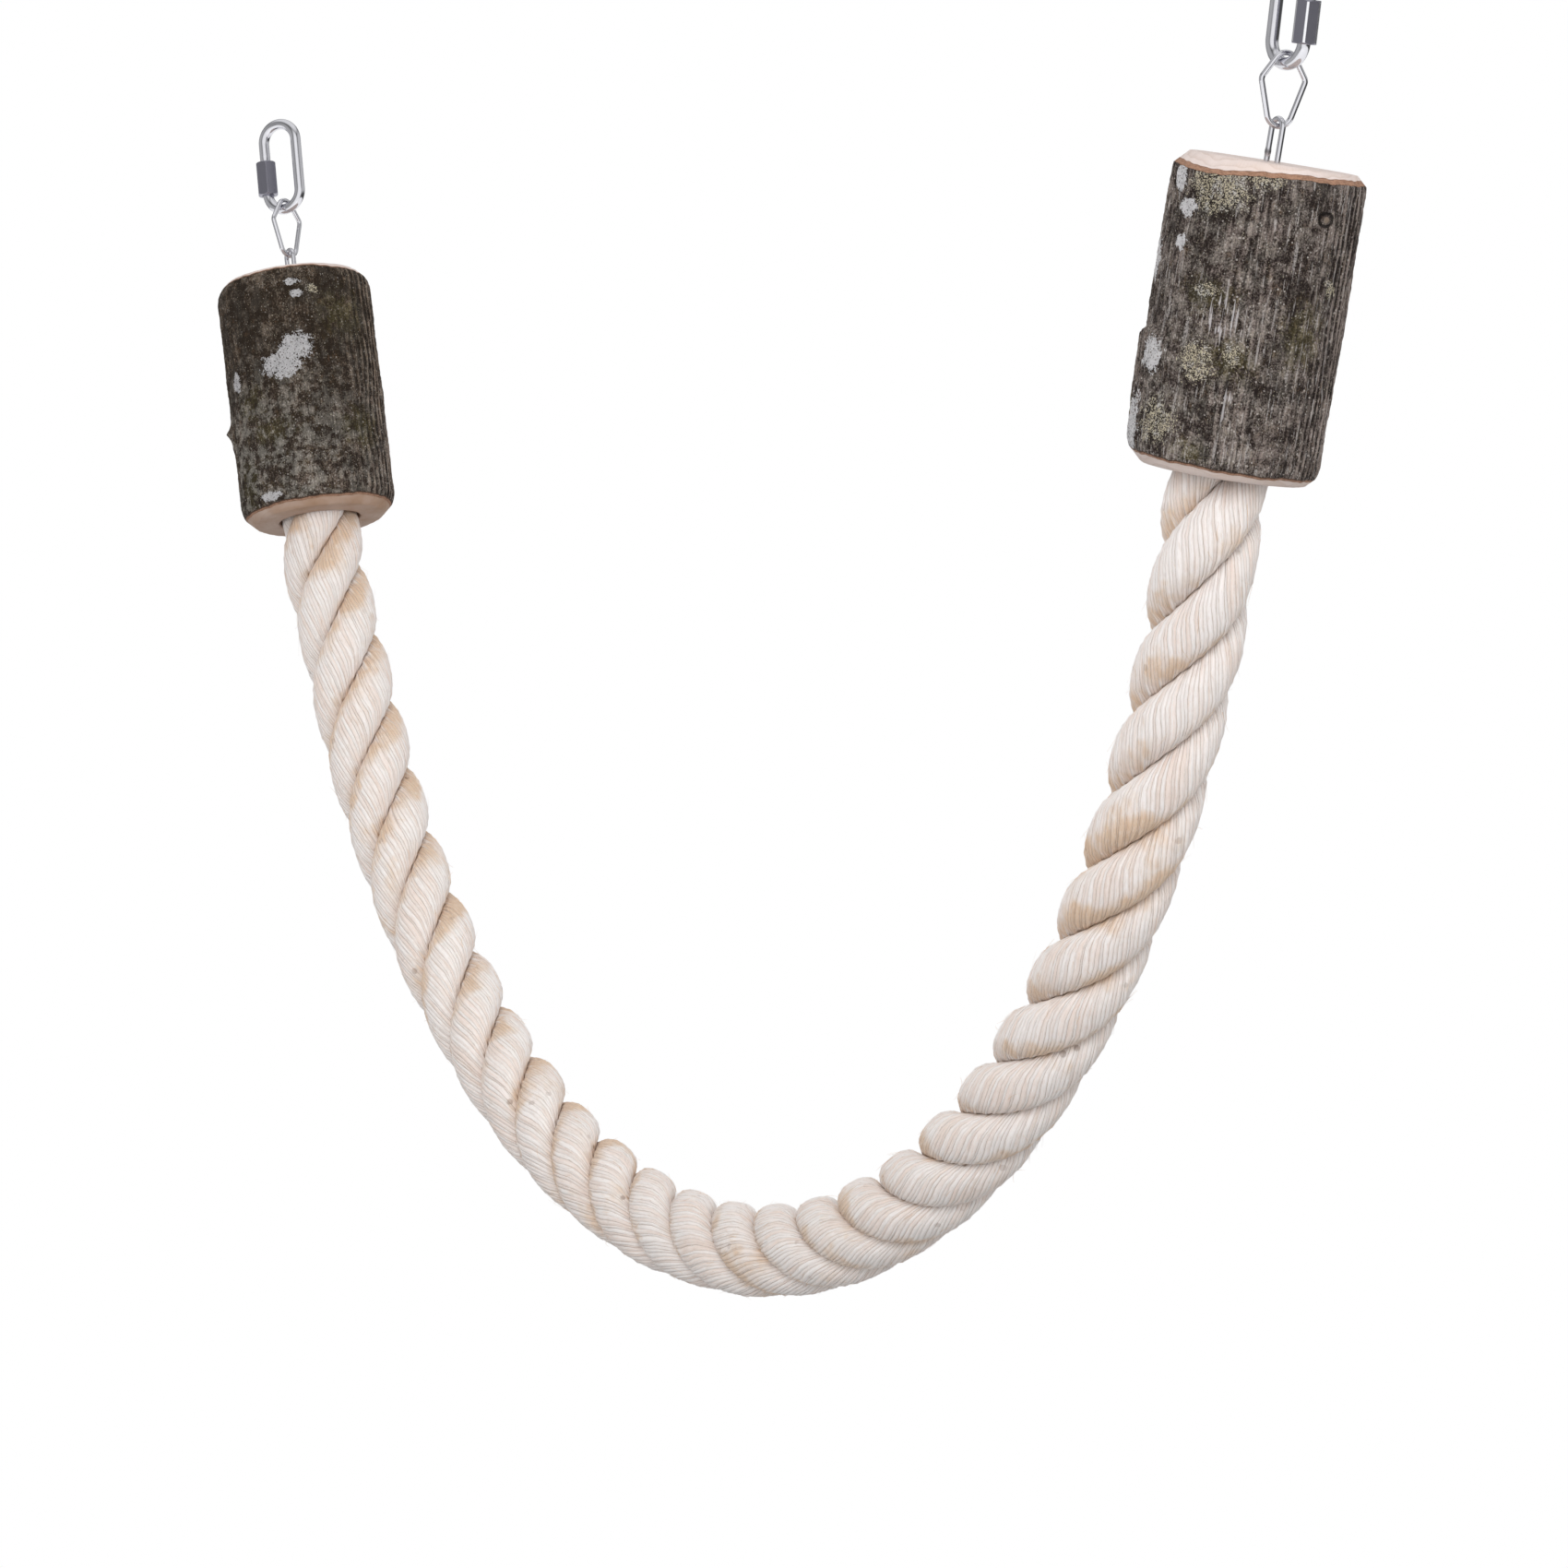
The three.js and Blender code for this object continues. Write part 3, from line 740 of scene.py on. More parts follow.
def wrapped_grid(name, columns, rows, place, uv_scale=(1, 1), uv_start=(0, 0), ring=False):
    """A mesh from a grid whose columns close round a tube, and whose rows close too if
    it is a ring. place takes each point's column and row, and gives its position and
    its attributes."""
    bm = bmesh.new()
    bm.loops.layers.uv.new("lay")
    bmesh.ops.create_grid(bm, x_segments=columns, y_segments=rows, size=1.0, calc_uvs=True)
    mesh = bpy.data.meshes.new(name)
    bm.to_mesh(mesh)
    bm.free()
    count = len(mesh.vertices)
    flat = np.empty(count * 3, np.float32)
    mesh.vertices.foreach_get("co", flat)
    flat = flat.reshape(-1, 3)
    column = np.rint((flat[:, 0] + 1) / 2 * columns).astype(int)
    row = np.rint((flat[:, 1] + 1) / 2 * rows).astype(int)
    points, attributes = place(column % columns, row % rows if ring else row, column)
    mesh.vertices.foreach_set("co", points.astype(np.float32).ravel())
    for key, amounts in attributes.items():
        layer = mesh.attributes.new(key, "FLOAT", "POINT")
        layer.data.foreach_set("value", np.asarray(amounts, np.float32).ravel())
    uvs = mesh.uv_layers["lay"].data
    laid = np.empty(len(uvs) * 2, np.float32)
    uvs.foreach_get("uv", laid)
    laid = laid.reshape(-1, 2) * np.array(uv_scale, np.float32)
    laid += np.array(uv_start, np.float32)
    uvs.foreach_set("uv", laid.ravel())
    return mesh


def closed(mesh, distance=2e-4):
    """The mesh with its seams and poles merged, its open ends filled and its faces outwards."""
    bm = bmesh.new()
    bm.from_mesh(mesh)
    bmesh.ops.remove_doubles(bm, verts=bm.verts, dist=distance)
    edges = [edge for edge in bm.edges if edge.is_boundary]
    if edges:
        bmesh.ops.holes_fill(bm, edges=edges, sides=0)
    bmesh.ops.recalc_face_normals(bm, faces=bm.faces)
    bm.to_mesh(mesh)
    bm.free()
    return mesh


def from_bmesh(bm, name):
    mesh = bpy.data.meshes.new(name)
    bmesh.ops.recalc_face_normals(bm, faces=bm.faces)
    bm.to_mesh(mesh)
    bm.free()
    return mesh


def extruded(bm, edges):
    """Draws edges out, and returns the new points and the new edges."""
    made = bmesh.ops.extrude_edge_only(bm, edges=edges)["geom"]
    verts = [v for v in made if isinstance(v, bmesh.types.BMVert)]
    return verts, [e for e in made if isinstance(e, bmesh.types.BMEdge)]


def points_of(edges):
    """The points of some edges, each of them once."""
    return {vert for edge in edges for vert in edge.verts}


def joined(meshes, name):
    """One mesh of several, which keeps their attributes."""
    bm = bmesh.new()
    for mesh in meshes:
        bm.from_mesh(mesh)
        bpy.data.meshes.remove(mesh)
    mesh = bpy.data.meshes.new(name)
    bm.to_mesh(mesh)
    bm.free()
    return mesh


def cut_away(mesh, cutters):
    """The mesh with holes in it, one for each cutter."""
    piece = bpy.data.objects.new(mesh.name, mesh)
    bpy.context.scene.collection.objects.link(piece)
    tools = []
    for cutter in cutters:
        tool = bpy.data.objects.new(cutter.name, cutter)
        bpy.context.scene.collection.objects.link(tool)
        tools.append(tool)
        hole = piece.modifiers.new("hole", "BOOLEAN")
        hole.operation = "DIFFERENCE"
        hole.solver = "EXACT"
        hole.object = tool
    graph = bpy.context.evaluated_depsgraph_get()
    done = bpy.data.meshes.new_from_object(piece.evaluated_get(graph))
    done.name = mesh.name
    for used in [piece, *tools]:
        shape = used.data
        bpy.data.objects.remove(used)
        bpy.data.meshes.remove(shape)
    return done


def store_place(mesh):
    """Keeps each point's place on its hanging line, for patterns that follow the branch."""
    places = np.empty(len(mesh.vertices) * 3, np.float32)
    mesh.vertices.foreach_get("co", places)
    layer = mesh.attributes.new("place", "FLOAT_VECTOR", "POINT")
    layer.data.foreach_set("vector", places)


def add_piece(name, mesh, matrix, body, material, replaced=(), sharp=None):
    """Puts a finished mesh in its place in the swing, on the body that carries it."""
    old = bpy.data.objects.get(name)
    if old:
        bpy.data.objects.remove(old)
    mesh.name = name
    mesh.transform(matrix)
    mesh.materials.clear()
    mesh.materials.append(material)
    mesh.shade_smooth()
    if sharp is not None:
        mesh.set_sharp_from_angle(angle=math.radians(sharp))
    piece = bpy.data.objects.new(name, mesh)
    bpy.context.scene.collection.objects.link(piece)
    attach(piece, body)
    for node in replaced:
        low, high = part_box(node)
        co = np.array([v.co for v in mesh.vertices])
        off = max(np.abs(co.min(0) - low).max(), np.abs(co.max(0) - high).max())
        if off > 0.006:
            raise RuntimeError(f"{name} lies {off * 1000:.1f} mm off the solid {node}")
    if replaced:
        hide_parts(*replaced)
    return piece


def add_steel(name, bm, matrix, body, steel, solid, sharp=None):
    """Puts a piece of one of the steels in its place, instead of its solid."""
    if bm.verts.layers.float.get("weld") is None:
        bm.verts.layers.float.new("weld")
    material = bpy.context.scene[steel]
    add_piece(name, from_bmesh(bm, name), matrix, body, material, [solid], sharp)


# The rope


def rope_route(places):
    """The points that the rope's centreline goes through, from socket to socket."""
    held = (-ROPE_LEAD, 0.0, SOCKET_DEPTH / 2, SOCKET_DEPTH)
    left = [places.rope_end("left", distance) for distance in held]
    right = [places.rope_end("right", distance) for distance in held]
    tip = math.radians(ROPE_TIP)
    fall = Vector((0, math.sin(tip), -math.cos(tip)))

    def hung(x, z):
        share = (x + MOUTH_HALF_SPAN) / (2 * MOUTH_HALF_SPAN)
        return left[1].lerp(right[1], share) + fall * (MOUTH_HEIGHT - z)

    free = [hung(-x, z) for x, z in reversed(ROUTE[1:])] + [hung(x, z) for x, z in ROUTE]
    return np.array([*reversed(left), *free, *right])


def smooth_curve(points, per_span=60):
    """Points on the smooth curve through some others, closer together."""
    first = 2 * points[0] - points[1]
    last = 2 * points[-1] - points[-2]
    p = np.vstack([first, points, last])
    curve = []
    for i in range(len(points) - 1):
        a, b, c, d = p[i : i + 4]
        da, db, dc = (math.sqrt(np.linalg.norm(v)) for v in (b - a, c - b, d - c))
        t1 = ((b - a) / da - (c - a) / (da + db) + (c - b) / db) * db
        t2 = ((c - b) / db - (d - b) / (db + dc) + (d - c) / dc) * db
        t = np.arange(per_span)[:, None] / per_span
        curve.append(
            b + t1 * t + (3 * (c - b) - 2 * t1 - t2) * t**2 + (2 * (b - c) + t1 + t2) * t**3
        )
    curve.append(points[-1:])
    return np.vstack(curve)


class RopeLine:
    """The rope's centreline, as places by their distance from its lowest point."""

    def __init__(self, places):
        curve = smooth_curve(rope_route(places))
        steps = np.linalg.norm(np.diff(curve, axis=0), axis=1)
        run = np.concatenate([[0.0], np.cumsum(steps)])
        self.curve = curve
        self.run = run - run[-1] / 2
        self.end = run[-1] / 2
        ahead = np.gradient(curve, self.run, axis=0)
        ahead /= np.linalg.norm(ahead, axis=1)[:, None]
        front = -np.array(places.rope_plane().to_3x3().col[1])
        front = front - (ahead @ front)[:, None] * ahead
        self.front = front / np.linalg.norm(front, axis=1)[:, None]
        self.inner = np.cross(self.front, ahead)
        turning = np.gradient(ahead, self.run, axis=0)
        self.curving = np.einsum("ij,ij->i", turning, self.inner)

    def along(self, s, rows):
        """Rows kept for each point of the line, brought to places between them."""
        return np.stack([np.interp(s, self.run, rows[:, k]) for k in range(3)], -1)

    def at(self, s):
        """Centre, and the directions to the inner side of the bend and to the front."""
        return self.along(s, self.curve), self.along(s, self.inner), self.along(s, self.front)

    def bend(self, s):
        """How sharply the line bends, in turns of one radian per millimetre."""
        return np.interp(s, self.run, self.curving)


def waves(rng, count, s, periods, heights):
    """Slow waves along the rope, each of its own, one row for each of count things."""
    total = np.zeros((count, len(s)))
    for period, height in zip(periods, heights):
        own = period * rng.uniform(0.8, 1.25, (count, 1))
        start = rng.uniform(0, 2 * np.pi, (count, 1))
        total += height * np.sin(2 * np.pi * s[None, :] / own + start)
    return total


class Strands:
    """The surface of the three strands: where a yarn of a strand lies at each place."""

    spread = 1.36  # how much wider than high a strand's section across the rope is
    orbit_share = 0.536  # how far out a strand's axis lies, of the rope's radius
    room = 0.10  # half the gap between two strands
    give = 20  # how strongly a bend changes a strand's section
    shade_reach = 1.7  # how far out of a groove its shade reaches

    def __init__(self, values, line):
        self.values = values
        self.line = line
        self.lay = in_mm(values.lay)
        outside = in_mm(values.diameter) / 2
        self.orbit = outside * self.orbit_share
        self.radius = outside - self.orbit
        self.mouth = line.end - SOCKET_DEPTH
        self.narrow = in_mm(values.mouth_diameter) / in_mm(values.diameter)

    def fullness(self, s):
        """The rope's size, 1 in its free length and less where the branch squeezes it."""
        t = np.clip((self.mouth + 4 - np.abs(s)) / in_mm(self.values.squeeze), 0, 1)
        return self.narrow + (1 - self.narrow) * np.sin(t * np.pi / 2) ** 1.2

    def surface(self, strand, s, theta, sink):
        """Points at angles theta round a strand, sunk below its skin, and how near and on
        which side each lies to the next strand."""
        full = self.fullness(s)
        turn = GROOVE_ANGLE + math.pi / 3 + strand * 2 * math.pi / 3 + 2 * np.pi * s / self.lay
        centre, inner, front = self.line.at(s)
        pinch = self.line.bend(s) * self.give * np.cos(turn)
        high = self.radius * (1 + 0.20 * pinch)
        x = full * (self.orbit + (high - sink) * np.cos(theta))
        y = full * (self.radius * self.spread * (1 - 0.25 * pinch) - sink) * np.sin(theta)
        wall = math.radians(60)
        along = x * math.cos(wall) + np.abs(y) * math.sin(wall)
        inside = x * math.sin(wall) - np.abs(y) * math.cos(wall)
        pressed = inside < self.room
        side = np.where(y < 0, -1.0, 1.0)
        px = along * math.cos(wall) + self.room * math.sin(wall)
        py = side * (along * math.sin(wall) - self.room * math.cos(wall))
        x = np.where(pressed, px, x)
        y = np.where(pressed, py, y)
        near = np.exp(-np.maximum(inside - self.room, 0) / self.shade_reach)
        out = np.cos(turn)[..., None] * inner + np.sin(turn)[..., None] * front
        round_ = -np.sin(turn)[..., None] * inner + np.cos(turn)[..., None] * front
        points = centre + x[..., None] * out + y[..., None] * round_
        return points, near, np.sin(theta) * (np.cos(theta) > -0.3)

    def yarn_angle(self, share, s):
        """Angle round a strand of a yarn, given as its share of the strand's girth."""
        return 2 * np.pi * share - 2 * 2 * np.pi * s / self.lay


def strand_mesh(strands, strand, rows):
    """One strand as a tube whose lengthwise edges follow its yarns."""
    values = strands.values
    yarns = values.yarns
    profile = np.array([1.0, 0.22, 0.0, 0.22]) * in_mm(values.yarn_depth)
    per_yarn = len(profile)
    columns = yarns * per_yarn
    rng = np.random.default_rng(40 + strand)
    s_all = np.linspace(-strands.line.end, strands.line.end, rows + 1)
    drift = waves(rng, yarns, s_all, (150, 62, 27), (0.24, 0.15, 0.07))
    swell = waves(rng, yarns, s_all, (120, 45, 16), (0.14, 0.10, 0.06))
    plump = waves(rng, 1, s_all, (210, 90), (0.16, 0.10))[0]

    def place(column, row, _):
        yarn = column // per_yarn
        step = column % per_yarn
        part = step / per_yarn
        after = (yarn + 1) % yarns
        shift = drift[yarn, row] * (1 - part) + drift[after, row] * part
        own = np.where(step == 0, (swell[yarn, row] + swell[yarn - 1, row]) / 2, swell[yarn, row])
        s = s_all[row]
        theta = strands.yarn_angle((column / per_yarn + shift) / yarns, s)
        points, near, flank = strands.surface(strand, s, theta, profile[step] - own - plump[row])
        return points, {"groove": near, "flank": flank}

    pattern = (yarns, 2 * strands.line.end / PATTERN_STEP)
    start = (40 * strand, 0)
    return closed(wrapped_grid(f"strand_{strand}", columns, rows, place, pattern, start))


class SWING_OT_rope(bpy.types.Operator):
    """Lay three strands of yarn along the rope's route"""

    bl_idname = "swing.rope"
    bl_label = "Rope"

    def execute(self, context):
        places = Places(context.scene)
        values = context.scene.swing_rope
        line = RopeLine(places)
        strands = Strands(values, line)
        rows = 205
        mesh = joined([strand_mesh(strands, k, rows) for k in range(3)], "laid_rope")
        material = rope_finish(values)
        rope = add_piece(
            "laid_rope", mesh, TO_METRES, "rope_swing", material, ["rope"]
        )
        return {"FINISHED"}


class SWING_OT_loose_fibres(bpy.types.Operator):
    """Let fibre ends stand off the rope"""

    bl_idname = "swing.loose_fibres"
    bl_label = "Loose fibres"

    def execute(self, context):
        places = Places(context.scene)
        values = context.scene.swing_rope
        strands = Strands(values, RopeLine(places))
        rng = np.random.default_rng(5)
        bm = bmesh.new()
        for _ in range(values.loose_fibres):
            self.add_fibre(bm, rng, strands)
        bmesh.ops.remove_doubles(bm, verts=bm.verts, dist=1e-5)
        mesh = from_bmesh(bm, "loose_fibres")
        f = Finish("loose_fibre")
        shade = f.noise(f.node("ShaderNodeTexCoord")["Object"], 90.0, 2.0)
        colour = f.mix(shade.to(0.35, 0.65), values.pale, values.straw_and_shade)
        material = f.surface(Base_Color=colour, Roughness=0.7, Specular_IOR_Level=0.3)
        add_piece("loose_fibres", mesh, TO_METRES, "rope_swing", material)
        return {"FINISHED"}

    @staticmethod
    def add_fibre(bm, rng, strands):
        """One fibre end, which leaves its yarn and curls away."""
        strand = int(rng.integers(3))
        s = rng.uniform(-strands.mouth + 6, strands.mouth - 6)
        theta = rng.uniform(-1.9, 1.9)
        length = rng.uniform(3.5, 11.0)
        lift = rng.uniform(0.4, 2.6)
        lean = rng.normal(0, 1.2)
        sign = rng.choice([-1.0, 1.0])
        segments = 6
        t = np.linspace(0, 1, segments + 1)
        run = s + sign * length * t
        twist = -2 * 2 * np.pi * (run - s) / strands.lay
        sink = 0.25 - lift * t**2
        spot = theta + twist + lean * t**2 * 0.18
        points, _, _ = strands.surface(strand, run, spot, sink)
        radius = 0.085 * (1 - 0.6 * t)
        grid = bmesh.ops.create_grid(bm, x_segments=3, y_segments=segments, size=1.0)
        ahead = np.gradient(points, axis=0)
        ahead /= np.linalg.norm(ahead, axis=1)[:, None]
        side = np.cross(ahead, [0.31, 0.93, 0.17])
        side /= np.linalg.norm(side, axis=1)[:, None]
        other = np.cross(ahead, side)
        for vert in grid["verts"]:
            angle = (vert.co.x + 1) * math.pi
            row = round((vert.co.y + 1) / 2 * segments)
            out = side[row] * math.cos(angle) + other[row] * math.sin(angle)
            vert.co = Vector(points[row] + radius[row] * out)


# The branches


def column_angles(columns):
    """The angles of a branch's or sleeve's columns."""
    return np.arange(columns) * 2 * np.pi / columns


def section_radius(places, side, angle):
    """Radius of a branch's own wood at an angle round it."""
    phase = SECTION_PHASE[side]
    oval = 0.7 * np.cos(2 * angle + phase)
    lobes = 0.5 * np.cos(3 * angle - 2 * phase)
    return places.wood_radius + oval + lobes


def degrees_off(angle, centre):
    """Degrees from a centre to an angle, the short way round."""
    return (np.degrees(angle) - centre + 180) % 360 - 180


def arc_off(angle, centre, radius):
    """Distance round the branch from a centre in degrees to an angle."""
    return np.radians(degrees_off(angle, centre)) * radius


def bump_at(angle, centre, width):
    """1 at an angle in degrees, falling off to about a third a width away."""
    return np.exp(-((degrees_off(angle, centre) / width) ** 2))


def sanded(branch, side, end, angle):
    """Width of the wood's sanded edge, which wanders a little round the branch."""
    wander = 0.30 * np.sin(2 * angle + 1.3) + 0.22 * np.sin(5 * angle + 0.4)
    wander += 0.12 * np.sin(11 * angle + (2.0 if end == "top" else 0.3))
    wander += 0.14 * np.sin(19 * angle) * np.sin(7 * angle + 1) + 0.10 * np.sin(37 * angle)
    if side == "right" and end == "top":
        wander += 2.4 * bump_at(angle, -80, 30) - 1.5 * bump_at(angle, 22, 45)
    if side == "right" and end == "bottom":
        wander += 1.0 * bump_at(angle, -100, 30) - 1.0 * bump_at(angle, 15, 60)
    if side == "left" and end == "top":
        wander -= 2.1 * bump_at(angle, -33, 80)
    return in_mm(branch.chamfer) + wander


def slot_outline(places, angles):
    """The outline of the narrow link's slot, with a point in each of its corners."""
    slot_x, slot_y = places.slot
    with np.errstate(divide="ignore"):
        reach = np.minimum(slot_x / np.abs(np.cos(angles)), slot_y / np.abs(np.sin(angles)))
    slot = np.stack([reach * np.cos(angles), reach * np.sin(angles)], -1)
    for x in (-slot_x, slot_x):
        for y in (-slot_y, slot_y):
            slot[np.argmin(np.hypot(slot[:, 0] - x, slot[:, 1] - y))] = (x, y)
    return slot


def wood_rings(places, side, branch, angles):
    """The wood's rings of points, from its slot's bottom round to its socket's: outline,
    height and how deep in a hole each lies."""
    inside_bark = 0.03
    round_ = section_radius(places, side, angles) + FIT_GAP - inside_bark
    top, bottom = places.log_top, places.log_bottom
    slot = slot_outline(places, angles)
    circle = np.stack([np.cos(angles), np.sin(angles)], -1)
    up = sanded(branch, side, "top", angles)
    down = sanded(branch, side, "bottom", angles)
    bore = in_mm(branch.bore) / 2
    socket_top = bottom + SOCKET_DEPTH + FIT_GAP
    rings = []

    def ring(flat, z, depth=0.0):
        rings.append((flat, np.broadcast_to(np.asarray(z, float), angles.shape), depth))

    ring(slot * 0, places.slot_bottom, 1.0)
    ring(slot, places.slot_bottom, 1.0)
    ring(slot, top - 6, 1.0)
    ring(slot, top - 0.5, 0.5)
    ring(slot + circle * 0.25, top, 0.15)
    face = circle * (round_ - up)[:, None]
    for t in (0.1, 0.25, 0.5, 0.75, 0.97):
        ring(slot * (1 - t) + face * t, top)
    for t in (0.04, 0.5, 0.97):
        ring(circle * (round_ - up * (1 - t))[:, None], top - up * t)
    for t in np.linspace(0, 1, 12):
        ring(circle * round_[:, None], (top - up) * (1 - t) + (bottom + down) * t)
    for t in (0.97, 0.5, 0.04):
        ring(circle * (round_ - down * (1 - t))[:, None], bottom + down * t)
    face = circle * (round_ - down)[:, None]
    for t in (0.98, 0.75, 0.5, 0.25, 0.08):
        ring(face * t + circle * (bore + 0.5) * (1 - t), bottom)
    ring(circle * (bore + 0.5), bottom)
    ring(circle * (bore + 0.1), bottom + 0.35, 0.3)
    ring(circle * bore, bottom + 0.9, 0.7)
    ring(circle * bore, bottom + 6, 1.0)
    ring(circle * bore, socket_top, 1.0)
    ring(circle * 0, socket_top, 1.0)
    return [np.array(kind) for kind in zip(*rings)]


def wood_mesh(places, side, branch):
    """The wood: a slot in its top for the narrow link, a socket below for the rope."""
    columns = 240
    flat, heights, depths = wood_rings(places, side, branch, column_angles(columns))

    def place(column, row, _):
        xy = flat[row, column]
        points = np.stack([xy[:, 0], xy[:, 1], heights[row, column]], -1)
        return points, {"depth": depths[row]}

    return closed(wrapped_grid("wood", columns, len(flat) - 1, place))


def fractal(points, scale, seed, octaves=3):
    """Cloudy noise at each point, about -1 to 1."""
    x, y, z = scale
    return np.array(
        [
            noise.fractal((px * x + seed, py * y - seed, pz * z + seed * 0.7), 0.9, 2.1, octaves)
            for px, py, pz in points
        ]
    )


# Lichen, algae and pale scores: angle round the branch in degrees, depth below its
# top, half width and half height, all but the first in millimetres
WHITE_PATCHES = {
    "left": [
        (-45, 47, 13, 9),
        (-33, 40, 11, 9),
        (-28, 15, 4, 3),
        (-31, 9, 5, 2.5),
        (-90, 50, 4, 7),
        (-66, 108, 9, 3),
        (150, 70, 15, 11),
        (190, 20, 9, 7),
    ],
    "right": [
        (-99, 75, 9, 9),
        (-99, 9, 5, 9),
        (-87, 20, 6, 5),
        (-114, 104, 9, 19),
        (-88, 33, 4, 4),
        (-120, 40, 7, 10),
        (140, 35, 13, 9),
        (200, 90, 11, 9),
    ],
}
CREAM_PATCHES = {
    "left": [
        (-17, 13, 4, 3),
        (110, 90, 12, 9),
        (215, 60, 10, 13),
    ],
    "right": [
        (-67, 11, 19, 14),
        (-40, 6, 12, 5),
        (-63, 74, 9, 11),
        (-84, 98, 13, 12),
        (-64, 48, 8, 4),
        (-43, 70, 6, 5),
        (15, 42, 5, 5),
        (100, 60, 12, 14),
        (230, 95, 12, 9),
    ],
}
ALGAE_PATCHES = {
    "left": [
        (-76, 62, 11, 12),
        (10, 80, 16, 15),
        (5, 25, 18, 18),
        (-60, 78, 18, 8),
        (-88, 100, 9, 18),
    ],
    "right": [
        (-59, 107, 10, 7),
        (-45, 72, 14, 12),
        (-2, 60, 14, 20),
        (-62, 50, 16, 9),
    ],
}
SCORED_PATCHES = {
    "left": [(160, 40, 6, 8)],
    "right": [(-51, 57, 8, 10), (-42, 88, 4, 7)],
}


def patches(listed, angle, drop, radius):
    """1 in the middle of the nearest patch, 0 at its edge and less outside."""
    best = np.full(angle.shape, -1.0)
    for centre, depth, wide, high in listed:
        distance = np.hypot(arc_off(angle, centre, radius) / wide, (drop - depth) / high)
        best = np.maximum(best, 1 - distance)
    return best


def twig_stub(angle, drop, radius):
    """How far the stub of a twig stands out of the left branch, and the ring round it."""
    centre, depth = STUB
    distance = np.hypot(arc_off(angle, centre, radius), drop - depth)
    stub = np.clip(1 - distance / 6.5, 0, 1)
    return 3.6 * stub**1.4 + 0.5 * np.exp(-((distance - 7.5) ** 2) / 6)


def torn_ledge(angle, drop):
    """How far the right branch's bark stands out below its torn edge."""
    centre, depth = LEDGE
    below = drop - depth + 1.5 * np.sin(angle * 9)
    step = np.clip(below / 1.4, 0, 1) * np.clip(1 - below / 50, 0, 1)
    return 2.0 * step * np.clip(1 - np.abs(degrees_off(angle, centre)) / 34, 0, 1)


def knot_ring(angle, drop, radius):
    """The right branch's knot: above 0 in its sunk ring, and below 0 in its middle."""
    centre, depth = KNOT
    distance = np.hypot(arc_off(angle, centre, radius), (drop - depth) * 1.4)
    return np.exp(-(((distance - 3.3) / 0.8) ** 2)) - 0.6 * np.exp(-((distance / 1.9) ** 2))


def bark_relief(places, side, angle, z, ridges):
    """How far the bark's surface stands out at each point, and its lichens."""
    radius = places.back
    drop = places.log_top - z
    x, y = radius * np.cos(angle), radius * np.sin(angle)
    points = np.stack([x, y, z], -1)
    seed = 3.7 if side == "left" else 21.3
    broad = fractal(points, (0.05, 0.05, 0.035), seed, 2)
    ribs = fractal(points, (0.36, 0.36, 0.022), seed + 5, 2)
    fine = fractal(points, (0.85, 0.85, 0.09), seed + 9, 3)
    crumbs = fractal(points, (0.55, 0.55, 0.42), seed + 14, 3)
    furrowed = 0.12 + 0.88 * bump_at(angle, 46, 38) + 0.5 * bump_at(angle, 200, 60)
    furrowed += 0.35 * bump_at(angle, -38, 14) * (side == "right")
    ribs = np.cos(angle * radius / 3.6 * 2 * np.pi + 6.0 * broad) * (0.85 + 0.5 * ribs)
    relief = ridges * (furrowed * (0.62 * ribs + 0.26 * fine) + 0.22 * crumbs)
    brown_and_shade = np.full(len(z), 0.08)
    knot = np.zeros(len(z))
    crusty = 0.12 + 0.25 * bump_at(angle, -60, 50)
    if side == "left":
        low = np.clip((drop - 35) / 45, 0, 1)
        crusty = 0.15 + 0.85 * low * bump_at(angle, -70, 75)
        # Left branch: browner bark and painted shade, strongest near its top
        brown_and_shade = 0.95 - 0.35 * low - 0.25 * bump_at(angle, 60, 30)
    white = patches(WHITE_PATCHES[side], angle, drop, radius)
    cream = patches(CREAM_PATCHES[side], angle, drop, radius)
    olive = patches(ALGAE_PATCHES[side], angle, drop, radius)
    crust = np.clip(np.maximum(white, cream) * 3, 0, 1)
    out = broad * 0.55 + relief + crust * 0.25
    if side == "left":
        out += twig_stub(angle, drop, radius)
    else:
        knot = knot_ring(angle, drop, radius)
        out += torn_ledge(angle, drop)
        out -= 0.6 * knot
    height = np.clip(0.5 + relief / ridges * 0.55, 0, 1)
    return out, {
        "relief": height,
        "furrowed": np.clip(furrowed, 0, 1),
        "crusty": crusty,
        "brown_and_shade": brown_and_shade,
        "knot": knot,
        "lichen_white": white,
        "lichen_cream": cream,
        "algae": olive,
        "scored": patches(SCORED_PATCHES[side], angle, drop, radius),
    }


def bark_rings(inner, skin, z, low_in, high_in, top_depth):
    """The bark's rings of points, from its lower inner edge up its skin to its upper inner
    edge: radius, height, 1 where it is sanded, and how near the skin each lies."""
    shares = np.arange(1, RIM_RINGS + 1) / (RIM_RINGS + 1)
    rings = [(inner, low_in, 1.0, 0.0)]
    for t in shares:
        rings.append((inner + (skin[0] - inner) * t, low_in + (z[0] - low_in) * t, 1.0, t))
    for radius, height in zip(skin, z):
        rings.append((radius, height, 0.0, 1.0))
    for t in shares[::-1]:
        radius = inner + (skin[-1] - inner) * t
        rings.append((radius, high_in + (z[-1] - high_in) * t, 1.0, t * top_depth))
    rings.append((inner, high_in, 1.0, 0.0))
    return [np.array(kind) for kind in zip(*rings)]


